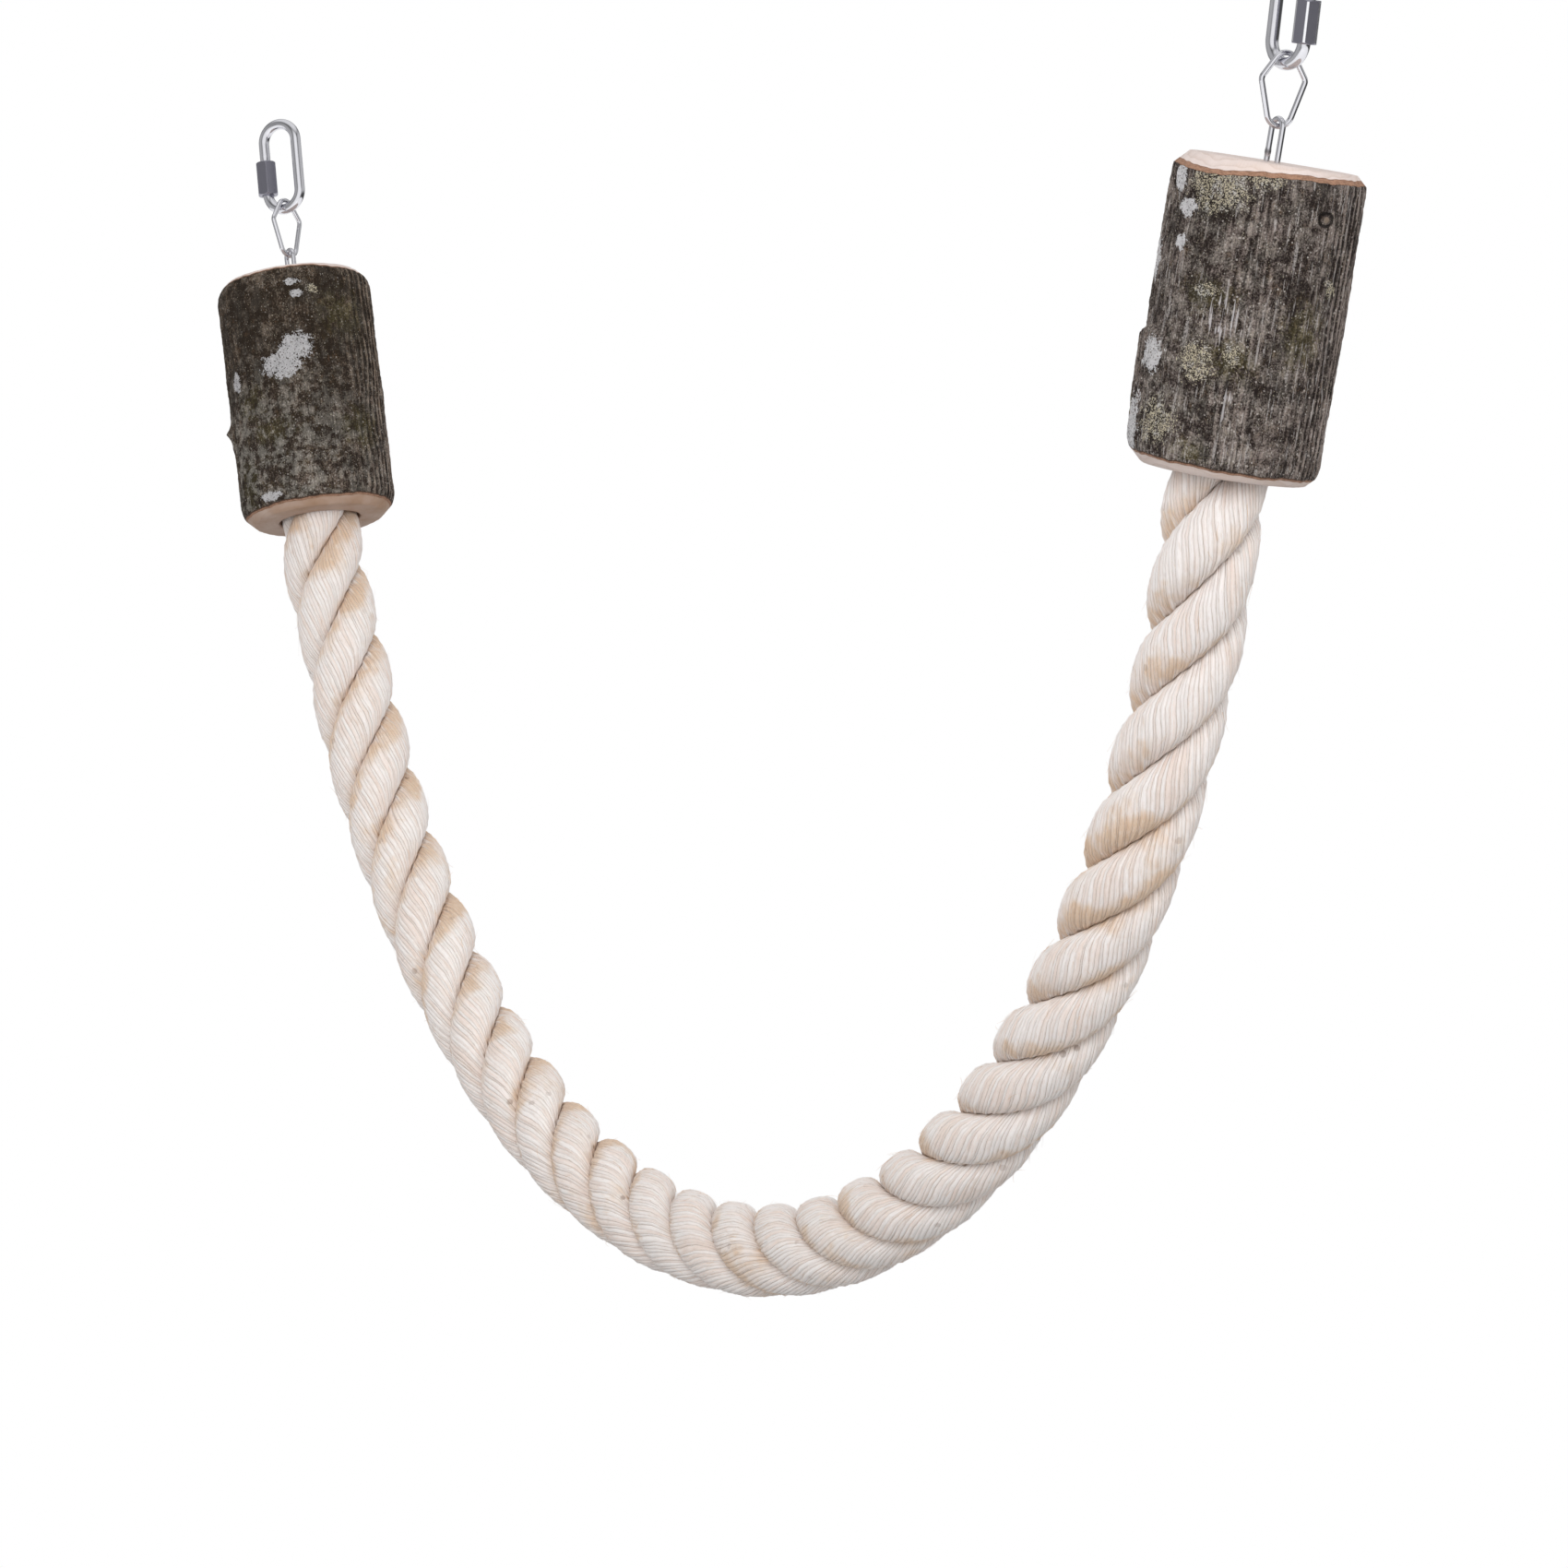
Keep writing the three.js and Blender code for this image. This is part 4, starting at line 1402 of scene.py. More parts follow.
def bark_mesh(places, side, branch):
    """The bark: a sleeve round the wood, with ridges, a stub or a torn edge, and sanded ends."""
    columns, outer = 336, 168
    thick = in_mm(branch.bark)
    ridges = in_mm(branch.ridges)
    angles = column_angles(columns)
    inner = section_radius(places, side, angles) + FIT_GAP
    up = sanded(branch, side, "top", angles)
    down = sanded(branch, side, "bottom", angles)
    low_in = places.log_bottom + down
    high_in = places.log_top - up
    worn = {"bottom": 0.42 * thick, "top": (0.08 if side == "right" else 0.5) * thick}
    low_out = low_in + thick - worn["bottom"]
    high_out = high_in - thick + worn["top"]
    share = np.linspace(0, 1, outer + 1)
    z = low_out[None, :] * (1 - share[:, None]) + high_out[None, :] * share[:, None]
    a = np.broadcast_to(angles, z.shape)
    out, marks = bark_relief(places, side, a.ravel(), z.ravel(), ridges)
    out = out.reshape(z.shape)
    ease = np.clip(np.minimum(z - low_out, high_out - z) / 2.5, 0, 1)
    out = out * (0.35 + 0.65 * ease)
    for edge, distance in (("bottom", z - low_out), ("top", high_out - z)):
        out -= worn[edge] * np.clip(1 - distance / 6.0, 0, 1) ** 2.2
    skin = inner[None, :] + thick + out
    top_depth = 0.55 if side == "right" else 1.1
    radii, heights, cut, depth = bark_rings(inner, skin, z, low_in, high_in, top_depth)

    def place(column, row, _):
        radius = radii[row, column]
        angle = angles[column]
        x, y = radius * np.cos(angle), radius * np.sin(angle)
        kept = {"sanded": cut[row], "rim_depth": depth[row]}
        on_skin = np.clip(row - RIM_RINGS - 1, 0, outer)
        for key, amounts in marks.items():
            kept[key] = amounts.reshape(z.shape)[on_skin, column]
        return np.stack([x, y, heights[row, column]], -1), kept

    return closed(wrapped_grid("bark", columns, len(radii), place, ring=True))


def hole_cutter(name, profile, height):
    """A stepped round cutter along Y, from (radius, distance) pairs."""
    bm = bmesh.new()
    radius, start = profile[0]
    turned = Matrix.Translation((0, start, height)) @ Matrix.Rotation(math.pi / 2, 4, "X")
    bmesh.ops.create_circle(bm, cap_ends=True, segments=40, radius=radius, matrix=turned)
    edges = list(bm.edges)
    for before, (wide, distance) in zip(profile, profile[1:]):
        verts, edges = extruded(bm, edges)
        for vert in verts:
            flat = Vector((vert.co.x, 0, vert.co.z - height)) * (wide / before[0])
            vert.co = Vector((flat.x, distance, flat.z + height))
    bmesh.ops.holes_fill(bm, edges=edges, sides=0)
    return from_bmesh(bm, name)


def back_holes(places, links):
    """Cutters for the pin's and the screw's holes, set from the branch's back."""
    pin = in_mm(links.pin) / 2 + FIT_GAP
    shank = in_mm(links.screw) / 2 + FIT_GAP
    head = in_mm(links.screw_head) / 2 + FIT_GAP
    root = places.back - SCREW_SUNK - SCREW_CONE
    beyond = places.back + 12
    return [
        hole_cutter("pin_hole", [(pin, -PIN_REACH - FIT_GAP), (pin, beyond)], places.pin),
        hole_cutter(
            "screw_hole",
            [(shank, -SCREW_REACH - FIT_GAP), (shank, root - FIT_GAP), (head, root), (head, beyond)],
            places.screw,
        ),
    ]


class SWING_OT_wood(bpy.types.Operator):
    """Make the branches' wood, with its slot, socket and screw holes"""

    bl_idname = "swing.wood"
    bl_label = "Branch wood"

    def execute(self, context):
        places = Places(context.scene)
        branch = context.scene.swing_branch
        material = wood_finish(branch)
        for side in ("left", "right"):
            mesh = wood_mesh(places, side, branch)
            mesh = cut_away(mesh, back_holes(places, context.scene.swing_links))
            store_place(mesh)
            add_piece(
                f"branch_wood_{side}",
                mesh,
                branch_matrix(places, side),
                "rope_swing",
                material,
                [f"log_{side}_wood"],
                sharp=50,
            )
        return {"FINISHED"}


class SWING_OT_bark(bpy.types.Operator):
    """Make the bark round both branches, with its ridges and lichen"""

    bl_idname = "swing.bark"
    bl_label = "Branch bark"

    def execute(self, context):
        places = Places(context.scene)
        branch = context.scene.swing_branch
        material = bark_finish(branch)
        for side in ("left", "right"):
            mesh = bark_mesh(places, side, branch)
            mesh = cut_away(mesh, back_holes(places, context.scene.swing_links))
            store_place(mesh)
            add_piece(
                f"branch_bark_{side}",
                mesh,
                branch_matrix(places, side),
                "rope_swing",
                material,
                [f"log_{side}_bark"],
            )
        return {"FINISHED"}


# The links


def thread_wave(along, x, y, pitch):
    """1 on a thread's ridge and 0 in its groove, at a place along and round its axis."""
    turn = math.atan2(y, x) / (2 * math.pi)
    return abs((along / pitch - turn) % 1.0 - 0.5) * 2


def wire_end(bm, centre, heading, radius, sides):
    """The first ring of a wire, across the way that it sets out."""
    turned = Vector((0, 0, 1)).rotation_difference(heading).to_matrix().to_4x4()
    at = Matrix.Translation(centre) @ turned
    made = bmesh.ops.create_circle(bm, segments=sides, radius=radius, matrix=at)
    return list({edge for vert in made["verts"] for edge in vert.link_edges})


def wire_run(bm, ring, way, steps=1):
    """Takes a wire on in a straight line."""
    for _ in range(steps):
        verts, ring = extruded(bm, ring)
        bmesh.ops.translate(bm, verts=verts, vec=Vector(way) / steps)
    return ring


def wire_bend(bm, ring, centre, turn, step=6):
    """Takes a wire round a bend, against the clock as seen from the front."""
    made = bmesh.ops.spin(
        bm,
        geom=[*ring, *points_of(ring)],
        cent=centre,
        axis=(0, -1, 0),
        angle=turn,
        steps=max(2, math.ceil(math.degrees(turn) / step)),
        use_duplicate=False,
    )["geom_last"]
    return [e for e in made if isinstance(e, bmesh.types.BMEdge)]


def belt(corners):
    """For a wire drawn round circles (x, z, radius) in turn, where it meets each and how
    far it turns there."""
    count = len(corners)
    leave = []
    for (x, z, r), (nx, nz, nr) in zip(corners, corners[1:] + corners[:1]):
        dx, dz = nx - x, nz - z
        leave.append(math.atan2(dz, dx) - math.acos((r - nr) / math.hypot(dx, dz)))
    return [(leave[i - 1], (leave[i] - leave[i - 1]) % (2 * math.pi)) for i in range(count)]


def closed_link(corners, radius, sides=24, run_steps=6):
    """A link of round wire that goes round some circles and comes back to its start."""
    bm = bmesh.new()

    def meets(i, angle):
        x, z, r = corners[i]
        return Vector((x + r * math.cos(angle), 0, z + r * math.sin(angle)))

    turns = belt(corners)
    start = turns[0][0]
    heading = Vector((-math.sin(start), 0, math.cos(start)))
    ring = wire_end(bm, meets(0, start), heading, radius, sides)
    for i, (begin, turn) in enumerate(turns):
        x, z, _ = corners[i]
        ring = wire_bend(bm, ring, (x, 0, z), turn)
        after = (i + 1) % len(corners)
        way = meets(after, turns[after][0]) - meets(i, begin + turn)
        ring = wire_run(bm, ring, way, run_steps)
    bmesh.ops.remove_doubles(bm, verts=bm.verts, dist=0.01)
    return bm


def add_weld(bm, spot, reach, swell):
    """A bead round the wire where the link was welded shut."""
    layer = bm.verts.layers.float.new("weld")
    around = [vert for vert in bm.verts if (vert.co - spot).length < reach * 2.2]
    if not around:
        raise RuntimeError("the weld lies off its link")
    for vert in around:
        off = vert.co - spot
        amount = math.exp(-((off.z / reach) ** 2))
        rough = noise.noise(vert.co * 2.2) * 0.3 + 1
        vert.co += Vector((off.x, off.y, 0)) * swell * amount * rough
        vert[layer] = min(1.0, amount * 1.2)


class SWING_OT_narrow_links(bpy.types.Operator):
    """Bend the narrow welded links that stand in the branches' tops"""

    bl_idname = "swing.narrow_links"
    bl_label = "Narrow links"

    def execute(self, context):
        places = Places(context.scene)
        links = context.scene.swing_links
        thin = in_mm(links.thin_wire)
        bend = (in_mm(links.narrow_width) - thin) / 2
        for side in ("left", "right"):
            corners = [(0, places.eye_bottom + bend, bend), (0, places.eye_top - bend, bend)]
            bm = closed_link(corners, thin / 2, run_steps=48)
            out = -bend if side == "right" else bend
            spot = Vector((out, 0, places.log_top + WELD_RISE))
            add_weld(bm, spot, reach=0.9, swell=0.12)
            matrix = branch_matrix(places, side)
            solid = f"eye_link_{side}"
            add_steel(f"narrow_link_{side}", bm, matrix, "rope_swing", "link_steel", solid)
        return {"FINISHED"}


class SWING_OT_hex_links(bpy.types.Operator):
    """Bend the six-sided links"""

    bl_idname = "swing.hex_links"
    bl_label = "Six-sided links"

    def execute(self, context):
        places = Places(context.scene)
        links = context.scene.swing_links
        thin = in_mm(links.thin_wire)
        corner = in_mm(links.hex_corner)
        side_x = (in_mm(links.hex_width) - thin) / 2 - corner
        shoulder = places.hex_top + thin / 2 - in_mm(links.hex_shoulder)
        foot = in_mm(links.hex_foot)
        crown = in_mm(links.hex_crown)
        for side in ("left", "right"):
            corners = [
                (0, places.hex_bottom + foot, foot),
                (side_x, shoulder, corner),
                (0, places.hex_top - crown, crown),
                (-side_x, shoulder, corner),
            ]
            bm = closed_link(corners, thin / 2, run_steps=10)
            add_steel(
                f"six_sided_link_{side}",
                bm,
                line_matrix(places, side, HEX_TURN[side]),
                f"{side}_hex_link",
                "link_steel",
                f"hex_link_{side}",
            )
        return {"FINISHED"}


def thread_groove(bm, leg, low, high, pitch, radius, depth):
    """Cuts a helical groove into the part of a leg between two heights."""
    for vert in bm.verts:
        x = vert.co.x - leg
        if not low <= vert.co.z <= high or math.hypot(x, vert.co.y) > radius * 1.2:
            continue
        wave = thread_wave(vert.co.z, x, vert.co.y, pitch)
        fade = min(1.0, (vert.co.z - low) / pitch, (high - vert.co.z) / pitch + 0.4)
        shrink = 1 - depth / radius * (1 - wave) * max(fade, 0.0)
        vert.co.x = leg + x * shrink
        vert.co.y *= shrink


def resize(ring, leg, share):
    """Makes a ring round a leg wider or narrower."""
    for vert in points_of(ring):
        vert.co.x = leg + (vert.co.x - leg) * share
        vert.co.y *= share


def open_link(places, links):
    """A quick link's body, from the leg's end above its gap round to the one below."""
    radius = in_mm(links.thick_wire) / 2
    leg = in_mm(links.leg_spacing) / 2
    crown = places.quick_top - leg
    stub = places.bend_start + THREAD_STUB
    upper = stub + THREAD_GAP
    thread_top = upper + THREAD_LENGTH
    end_radius = radius - WIRE_CHAMFER
    bm = bmesh.new()
    ring = wire_end(bm, Vector((leg, 0, upper)), Vector((0, 0, 1)), end_radius, 28)
    first = list(ring)
    ring = wire_run(bm, ring, (0, 0, WIRE_CHAMFER), 2)
    resize(ring, leg, radius / end_radius)
    ring = wire_run(bm, ring, (0, 0, thread_top - upper - WIRE_CHAMFER), 72)
    ring = wire_run(bm, ring, (0, 0, crown - thread_top), 4)
    ring = wire_bend(bm, ring, (0, 0, crown), math.pi, 5)
    ring = wire_run(bm, ring, (0, 0, places.bend_start - crown), 8)
    ring = wire_bend(bm, ring, (0, 0, places.bend_start), math.pi, 5)
    ring = wire_run(bm, ring, (0, 0, THREAD_STUB - 0.4), 10)
    ring = wire_run(bm, ring, (0, 0, 0.4), 1)
    resize(ring, leg, 0.82)
    bmesh.ops.holes_fill(bm, edges=first + ring, sides=0)
    for low, high in ((upper + 0.3, thread_top), (places.bend_start, stub)):
        thread_groove(bm, leg, low, high, in_mm(links.pitch), radius, THREAD_DEPTH)
    return bm


class SWING_OT_quick_links(bpy.types.Operator):
    """Bend the quick links' bodies, with a thread on both of their ends"""

    bl_idname = "swing.quick_links"
    bl_label = "Quick links"

    def execute(self, context):
        places = Places(context.scene)
        for side in ("left", "right"):
            add_steel(
                f"quick_link_body_{side}",
                open_link(places, context.scene.swing_links),
                line_matrix(places, side, QUICK_TURN[side]),
                f"{side}_quick_link",
                "link_steel",
                f"quick_link_{side}",
                sharp=50,
            )
        return {"FINISHED"}


def sleeve_mesh(places, links, turn, wear_and_highlight):
    """A sleeve on its leg: six flats with rounded corners, coned at both ends."""
    flat = in_mm(links.sleeve_flats) / 2
    corner = flat / math.cos(math.pi / 6)
    bore = in_mm(links.thick_wire) / 2 + FIT_GAP
    low = places.bend_start - 0.5
    high = low + in_mm(links.sleeve_length)
    leg = in_mm(links.leg_spacing) / 2
    columns = 144
    angles = column_angles(columns)
    off = (angles - math.radians(turn) + np.pi / 6) % (np.pi / 3) - np.pi / 6
    hexagon = np.minimum(flat / np.cos(off), corner - 0.04 - 0.18 * wear_and_highlight)
    slope = (corner - flat) / 0.8
    drops = (0.0, 0.12, 0.25, 0.4, 0.55, 0.7, 0.85)
    coned = [np.minimum(hexagon, flat - 0.12 + slope * drop * 1.15) for drop in drops]
    stations = [(np.full(columns, bore), low + 0.35), (np.full(columns, bore + 0.3), low)]
    stations += [(cone, low + drop) for cone, drop in zip(coned, drops)]
    stations += [(hexagon, low + (high - low) * share) for share in (0.1, 0.3, 0.5, 0.7, 0.9)]
    stations += [(cone, high - drop) for cone, drop in zip(coned[::-1], drops[::-1])]
    stations += [(np.full(columns, bore + 0.3), high), (np.full(columns, bore), high - 0.35)]
    radii, heights = (np.array(kind) for kind in zip(*stations))

    def place(column, row, _):
        radius = radii[row, column]
        angle = angles[column]
        x = leg + radius * np.cos(angle)
        points = np.stack([x, radius * np.sin(angle), heights[row]], -1)
        # Painted highlight along the corners of the worn sleeve, whose steel is also polished
        # smoother there
        rubbed_and_highlight = np.clip((radius - corner + 0.25) / 0.03, 0, 1) * (wear_and_highlight > 0.5)
        return points, {"weld": np.zeros(len(row)), "rubbed_and_highlight": rubbed_and_highlight}

    return closed(wrapped_grid("sleeve", columns, len(stations), place, ring=True))


class SWING_OT_sleeves(bpy.types.Operator):
    """Make the six-sided sleeves that close the quick links"""

    bl_idname = "swing.sleeves"
    bl_label = "Sleeves"

    def execute(self, context):
        places = Places(context.scene)
        for side in ("left", "right"):
            links = context.scene.swing_links
            add_piece(
                f"sleeve_{side}",
                sleeve_mesh(places, links, SLEEVE_TURN[side], SLEEVE_WEAR_AND_HIGHLIGHT[side]),
                line_matrix(places, side, QUICK_TURN[side]),
                f"{side}_sleeve",
                context.scene["sleeve_steel"],
                [f"quick_link_{side}_sleeve"],
                sharp=22,
            )
        return {"FINISHED"}


class SWING_OT_pins(bpy.types.Operator):
    """Turn the cross pins that hold the narrow links"""

    bl_idname = "swing.pins"
    bl_label = "Cross pins"

    def execute(self, context):
        places = Places(context.scene)
        radius = in_mm(context.scene.swing_links.pin) / 2
        high = places.back - PIN_SUNK
        for side in ("left", "right"):
            bm = bmesh.new()
            start = Vector((0, -PIN_REACH, places.pin))
            ring = wire_end(bm, start, Vector((0, 1, 0)), radius, 28)
            first = list(ring)
            ring = wire_run(bm, ring, (0, high + PIN_REACH, 0), 4)
            caps = bmesh.ops.holes_fill(bm, edges=first + ring, sides=0)["faces"]
            rims = list({edge for face in caps for edge in face.edges})
            bmesh.ops.bevel(
                bm, geom=rims, offset=0.45, affect="EDGES", segments=3, profile=0.5, material=-1
            )
            add_steel(
                f"cross_pin_{side}",
                bm,
                branch_matrix(places, side),
                "rope_swing",
                "fastener_steel",
                f"link_pin_{side}",
                sharp=40,
            )
        return {"FINISHED"}


class SWING_OT_screws(bpy.types.Operator):
    """Make the countersunk screws that hold the rope"""

    bl_idname = "swing.screws"
    bl_label = "Screws"

    def execute(self, context):
        places = Places(context.scene)
        for side in ("left", "right"):
            add_steel(
                f"countersunk_screw_{side}",
                self.screw(places, context.scene.swing_links),
                branch_matrix(places, side),
                "rope_swing",
                "fastener_steel",
                f"rope_screw_{side}",
                sharp=35,
            )
        return {"FINISHED"}

    def screw(self, places, links):
        """One screw, from its tip to its head."""
        shank = in_mm(links.screw) / 2
        head = in_mm(links.screw_head) / 2
        face = places.back - SCREW_SUNK
        root = face - SCREW_CONE
        bm = bmesh.new()
        start = Vector((0, -SCREW_REACH, 0))
        ring = wire_end(bm, start, Vector((0, 1, 0)), shank * 0.08, 24)
        tip = list(ring)
        ring = self.widen(wire_run(bm, ring, (0, SCREW_TIP, 0), 12), shank)
        ring = wire_run(bm, ring, (0, root + SCREW_REACH - SCREW_TIP, 0), 100)
        ring = self.widen(wire_run(bm, ring, (0, 2.4, 0), 1), head)
        ring = self.widen(wire_run(bm, ring, (0, 0.45, 0), 1), head)
        ring = self.widen(wire_run(bm, ring, (0, 0.15, 0), 1), head - 0.2)
        self.cut_cross(bm, ring, face)
        bmesh.ops.holes_fill(bm, edges=tip, sides=0)
        self.cut_thread(bm, root)
        bmesh.ops.translate(bm, verts=bm.verts, vec=(0, 0, places.screw))
        return bm

    @staticmethod
    def widen(ring, radius):
        """Gives a ring round the Y axis another radius."""
        for vert in points_of(ring):
            flat = Vector((vert.co.x, 0, vert.co.z)).normalized() * radius
            vert.co = Vector((flat.x, vert.co.y, flat.z))
        return ring

    @staticmethod
    def cut_cross(bm, rim, face):
        """Closes the head with a face that has a cross recess."""
        half, arm = 0.55, 2.3
        quarter = [(arm, 0), (arm, half), ((arm + half) / 2, half), (half, half)]
        quarter += [(half, (arm + half) / 2), (half, arm)]
        outline = []
        for turn in range(4):
            c, s = round(math.cos(turn * math.pi / 2)), round(math.sin(turn * math.pi / 2))
            outline += [(x * c - y * s, x * s + y * c) for x, y in quarter]
        made = bmesh.ops.create_circle(bm, segments=24, radius=1.0)["verts"]
        made.sort(key=lambda v: math.atan2(v.co.y, v.co.x) % (2 * math.pi))
        for vert, (x, z) in zip(made, outline):
            vert.co = Vector((x, face, z))
        ring = list({edge for vert in made for edge in vert.link_edges})
        bmesh.ops.bridge_loops(bm, edges=rim + ring)
        verts, edges = extruded(bm, ring)
        bmesh.ops.translate(bm, verts=verts, vec=(0, -1.5, 0))
        bmesh.ops.scale(bm, verts=verts, vec=(0.62, 1, 0.62))
        bmesh.ops.holes_fill(bm, edges=edges, sides=0)

    @staticmethod
    def cut_thread(bm, root):
        """Wood thread on the shank, deep between sharp ridges."""
        for vert in bm.verts:
            if -SCREW_REACH + 0.5 < vert.co.y < root - 8:
                wave = thread_wave(vert.co.y, vert.co.x, vert.co.z, SCREW_PITCH)
                shrink = 1 - 0.32 * (1 - wave**2)
                vert.co.x *= shrink
                vert.co.z *= shrink


# The stage


def studio(stage):
    """Room light: white to the camera, and to steel a bright front and back and dark sides."""
    f = Finish("studio", world=True)
    path = f.node("ShaderNodeLightPath")
    way = f.node("ShaderNodeTexCoord")["Generated"]
    facing = math.radians(57)
    front = Vector((math.sin(facing), -math.cos(facing), 0))
    across = Vector((-front.y, front.x, 0))
    dot = {"operation": "DOT_PRODUCT"}
    toward = f.node("ShaderNodeVectorMath", dot, {0: way, 1: front})["Value"]
    aside = f.node("ShaderNodeVectorMath", dot, {0: way, 1: across})["Value"]
    high = f.node("ShaderNodeSeparateXYZ", None, {0: way})[2]
    before = toward.to(0.62, 0.90) * 1.1
    behind = (-0.80 - toward).to(-0.08, 0.12)
    left = (0.0 - aside).to(0.5, 1.0) * 0.45
    right = aside.to(0.5, 0.9) * high.to(-0.1, 0.2) * 0.6
    above = high.to(0.5, 0.9) * 0.9
    seen = ((before + behind + left + right).most(above) * 0.97 + 0.08).least(1.15)
    room = f.node("ShaderNodeBackground", None, {0: (1, 1, 1, 1), 1: stage.room})
    steel = f.node("ShaderNodeBackground", None, {0: (1, 1, 1, 1), 1: seen})
    white = f.node("ShaderNodeBackground", None, {0: (1, 1, 1, 1), 1: 1.0})
    mirrored = f.node(
        "ShaderNodeMixShader", None, {0: path["Is Glossy Ray"], 1: room[0], 2: steel[0]}
    )
    shown = path["Is Camera Ray"].most(path["Is Transmission Ray"])
    whole = f.node("ShaderNodeMixShader", None, {0: shown, 1: mirrored[0], 2: white[0]})
    f.node("ShaderNodeOutputWorld", None, {"Surface": whole[0]})
    return f.data


def floor_finish():
    """White floor that keeps a soft shadow, and is clear from below."""
    f = Finish("floor")
    path = f.node("ShaderNodeLightPath")
    matt = f.node("ShaderNodeBsdfDiffuse", None, {"Color": (0.45, 0.45, 0.45)})
    glow = f.node(
        "ShaderNodeEmission",
        None,
        {"Color": (1, 1, 1), "Strength": path["Is Camera Ray"].most(path["Is Glossy Ray"]) * 0.78},
    )
    lit = f.node("ShaderNodeAddShader", None, {0: matt[0], 1: glow[0]})
    clear = f.node("ShaderNodeBsdfTransparent")
    below = f.node("ShaderNodeNewGeometry")["Backfacing"]
    both = f.node("ShaderNodeMixShader", None, {0: below, 1: lit[0], 2: clear[0]})
    f.node("ShaderNodeOutputMaterial", None, {"Surface": both[0]})
    return f.data


def aim(thing, place, target):
    """Puts a lamp in its place, turned towards a point."""
    thing.location = place
    thing.rotation_euler = (Vector(target) - Vector(place)).to_track_quat("-Z", "Y").to_euler()


class SWING_OT_stage(bpy.types.Operator):
    """Set the floor, the lamps and the camera"""

    bl_idname = "swing.stage"
    bl_label = "Stage"

    def execute(self, context):
        stage = context.scene.swing_stage
        scene = context.scene
        scene.view_settings.view_transform = "Standard"
        scene.world = studio(stage)
        bm = bmesh.new()
        bmesh.ops.create_circle(bm, cap_ends=True, segments=96, radius=3.4)
        bmesh.ops.translate(bm, verts=bm.verts, vec=(0, 0, -stage.floor_drop))
        mesh = bpy.data.meshes.new("floor")
        bm.to_mesh(mesh)
        bm.free()
        mesh.materials.append(floor_finish())
        floor = bpy.data.objects.new("floor", mesh)
        scene.collection.objects.link(floor)
        middle = (0, 0, -0.26)
        lamps = [
            ("key_lamp", stage.key, 1.6, (2.2, -1.9, 0.5)),
            ("fill_lamp", stage.fill, 1.8, (2.6, 0.9, 0.3)),
        ]
        for name, power, width, place in lamps:
            lamp = bpy.data.lights.new(name, "AREA")
            lamp.shape = "DISK"
            lamp.size = width
            lamp.energy = power
            holder = bpy.data.objects.new(name, lamp)
            scene.collection.objects.link(holder)
            holder.visible_glossy = False
            aim(holder, place, middle)
        self.add_camera(scene, stage, Places(scene))
        return {"FINISHED"}

    @staticmethod
    def add_camera(scene, stage, places):
        """The camera, where the rope's own shape says that it stood."""
        yaw, pitch, roll = 0.9983, -0.0323, -0.0265
        right = Vector((math.cos(yaw), math.sin(yaw), 0))
        ahead = Vector(
            (-math.sin(yaw) * math.cos(pitch), math.cos(yaw) * math.cos(pitch), math.sin(pitch))
        )
        up = right.cross(ahead)
        across = right * math.cos(roll) + up * math.sin(roll)
        upright = up * math.cos(roll) - right * math.sin(roll)
        lens = bpy.data.cameras.new("camera")
        lens.lens = stage.lens
        lens.sensor_width = 36.0
        lens.clip_start = 0.05
        lens.clip_end = 60.0
        camera = bpy.data.objects.new("camera", lens)
        axes = Matrix((across, upright, -ahead)).transposed().to_4x4()
        stood = Vector((2075.5, -1307.9, -40.0))
        seen = places.rope_plane() @ Matrix.Translation(stood) @ axes
        camera.matrix_world = Matrix.Translation(seen.translation * MM) @ seen.to_3x3().to_4x4()
        scene.collection.objects.link(camera)
        scene.camera = camera


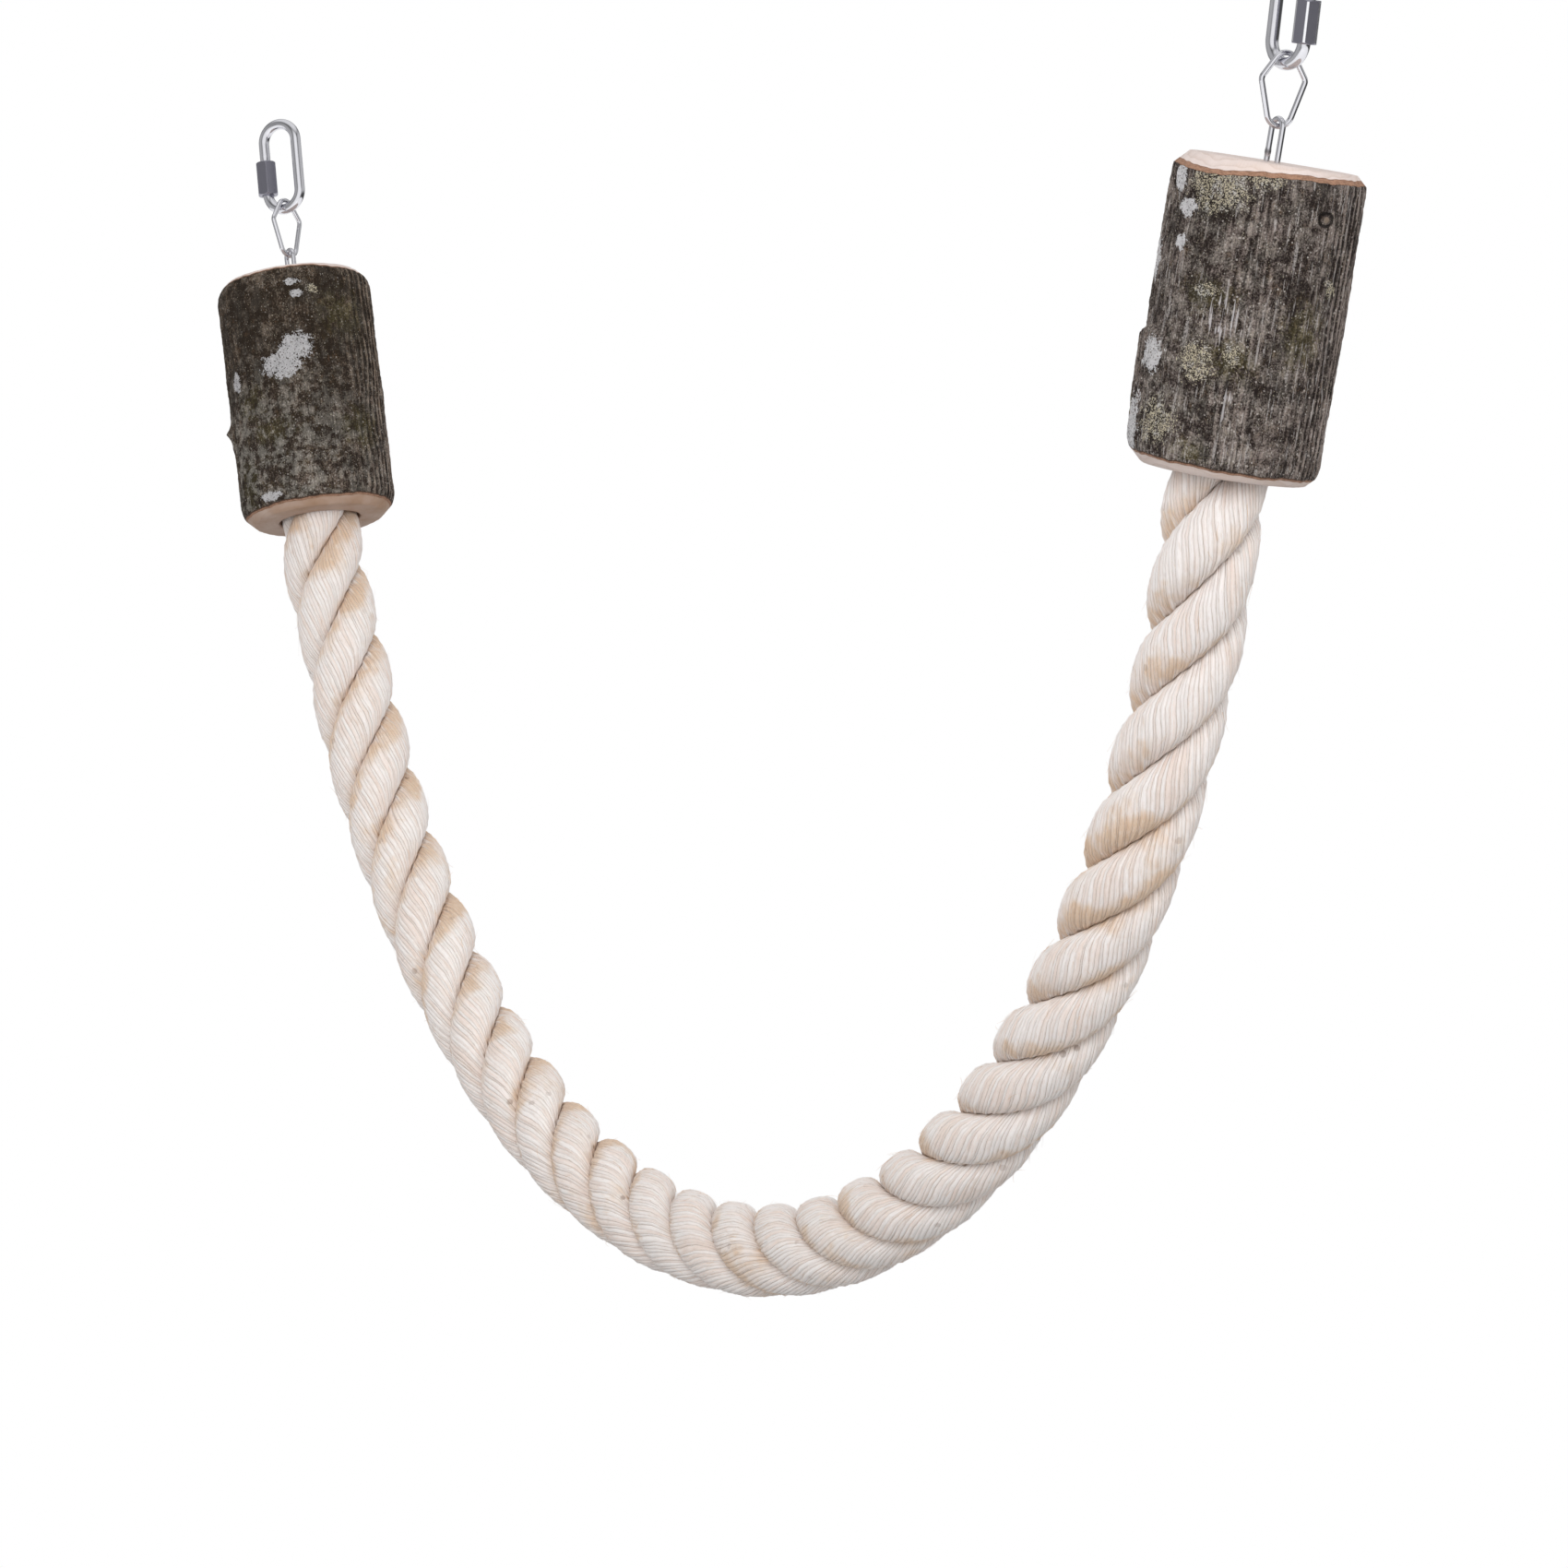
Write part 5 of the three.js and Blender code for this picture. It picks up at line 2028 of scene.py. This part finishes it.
class SWING_OT_steels(bpy.types.Operator):
    """Make the steels of the links, sleeves and fastenings"""

    bl_idname = "swing.steels"
    bl_label = "Steels"

    def execute(self, context):
        links = context.scene.swing_links
        scene = context.scene
        scene["link_steel"] = steel_finish("link_steel", links.steel, 0.12, (420, 420, 20))
        scene["sleeve_steel"] = steel_finish(
            "sleeve_steel", links.sleeve_steel, 0.33, (700, 700, 20)
        )
        scene["fastener_steel"] = steel_finish(
            "fastener_steel", links.fastener_steel, 0.3, (900, 120, 900)
        )
        return {"FINISHED"}


class SWING_PT_swing(bpy.types.Panel):
    """The swing's pieces and values"""

    bl_idname = "SWING_PT_swing"
    bl_label = "Rope swing"
    bl_space_type = "VIEW_3D"
    bl_region_type = "UI"
    bl_category = "Swing"

    def draw(self, context):
        for operator in OPERATORS:
            self.layout.operator(operator.bl_idname)
        for key in VALUE_GROUPS:
            box = self.layout.box()
            values = getattr(context.scene, key)
            for prop in values.bl_rna.properties:
                if prop.identifier not in ("rna_type", "name"):
                    box.prop(values, prop.identifier)


OPERATORS = [
    SWING_OT_stage,
    SWING_OT_steels,
    SWING_OT_rope,
    SWING_OT_loose_fibres,
    SWING_OT_wood,
    SWING_OT_bark,
    SWING_OT_narrow_links,
    SWING_OT_hex_links,
    SWING_OT_quick_links,
    SWING_OT_sleeves,
    SWING_OT_pins,
    SWING_OT_screws,
]


def register():
    for group in VALUE_GROUPS.values():
        bpy.utils.register_class(group)
    for key, group in VALUE_GROUPS.items():
        setattr(bpy.types.Scene, key, bpy.props.PointerProperty(type=group))
    for cls in [*OPERATORS, SWING_PT_swing]:
        bpy.utils.register_class(cls)


def unregister():
    for cls in reversed([*OPERATORS, SWING_PT_swing]):
        bpy.utils.unregister_class(cls)
    for key in VALUE_GROUPS:
        delattr(bpy.types.Scene, key)
    for group in reversed(VALUE_GROUPS.values()):
        bpy.utils.unregister_class(group)


def main():
    register()
    for operator in OPERATORS:
        group, name = operator.bl_idname.split(".")
        getattr(getattr(bpy.ops, group), name)()


if __name__ == "__main__":
    main()
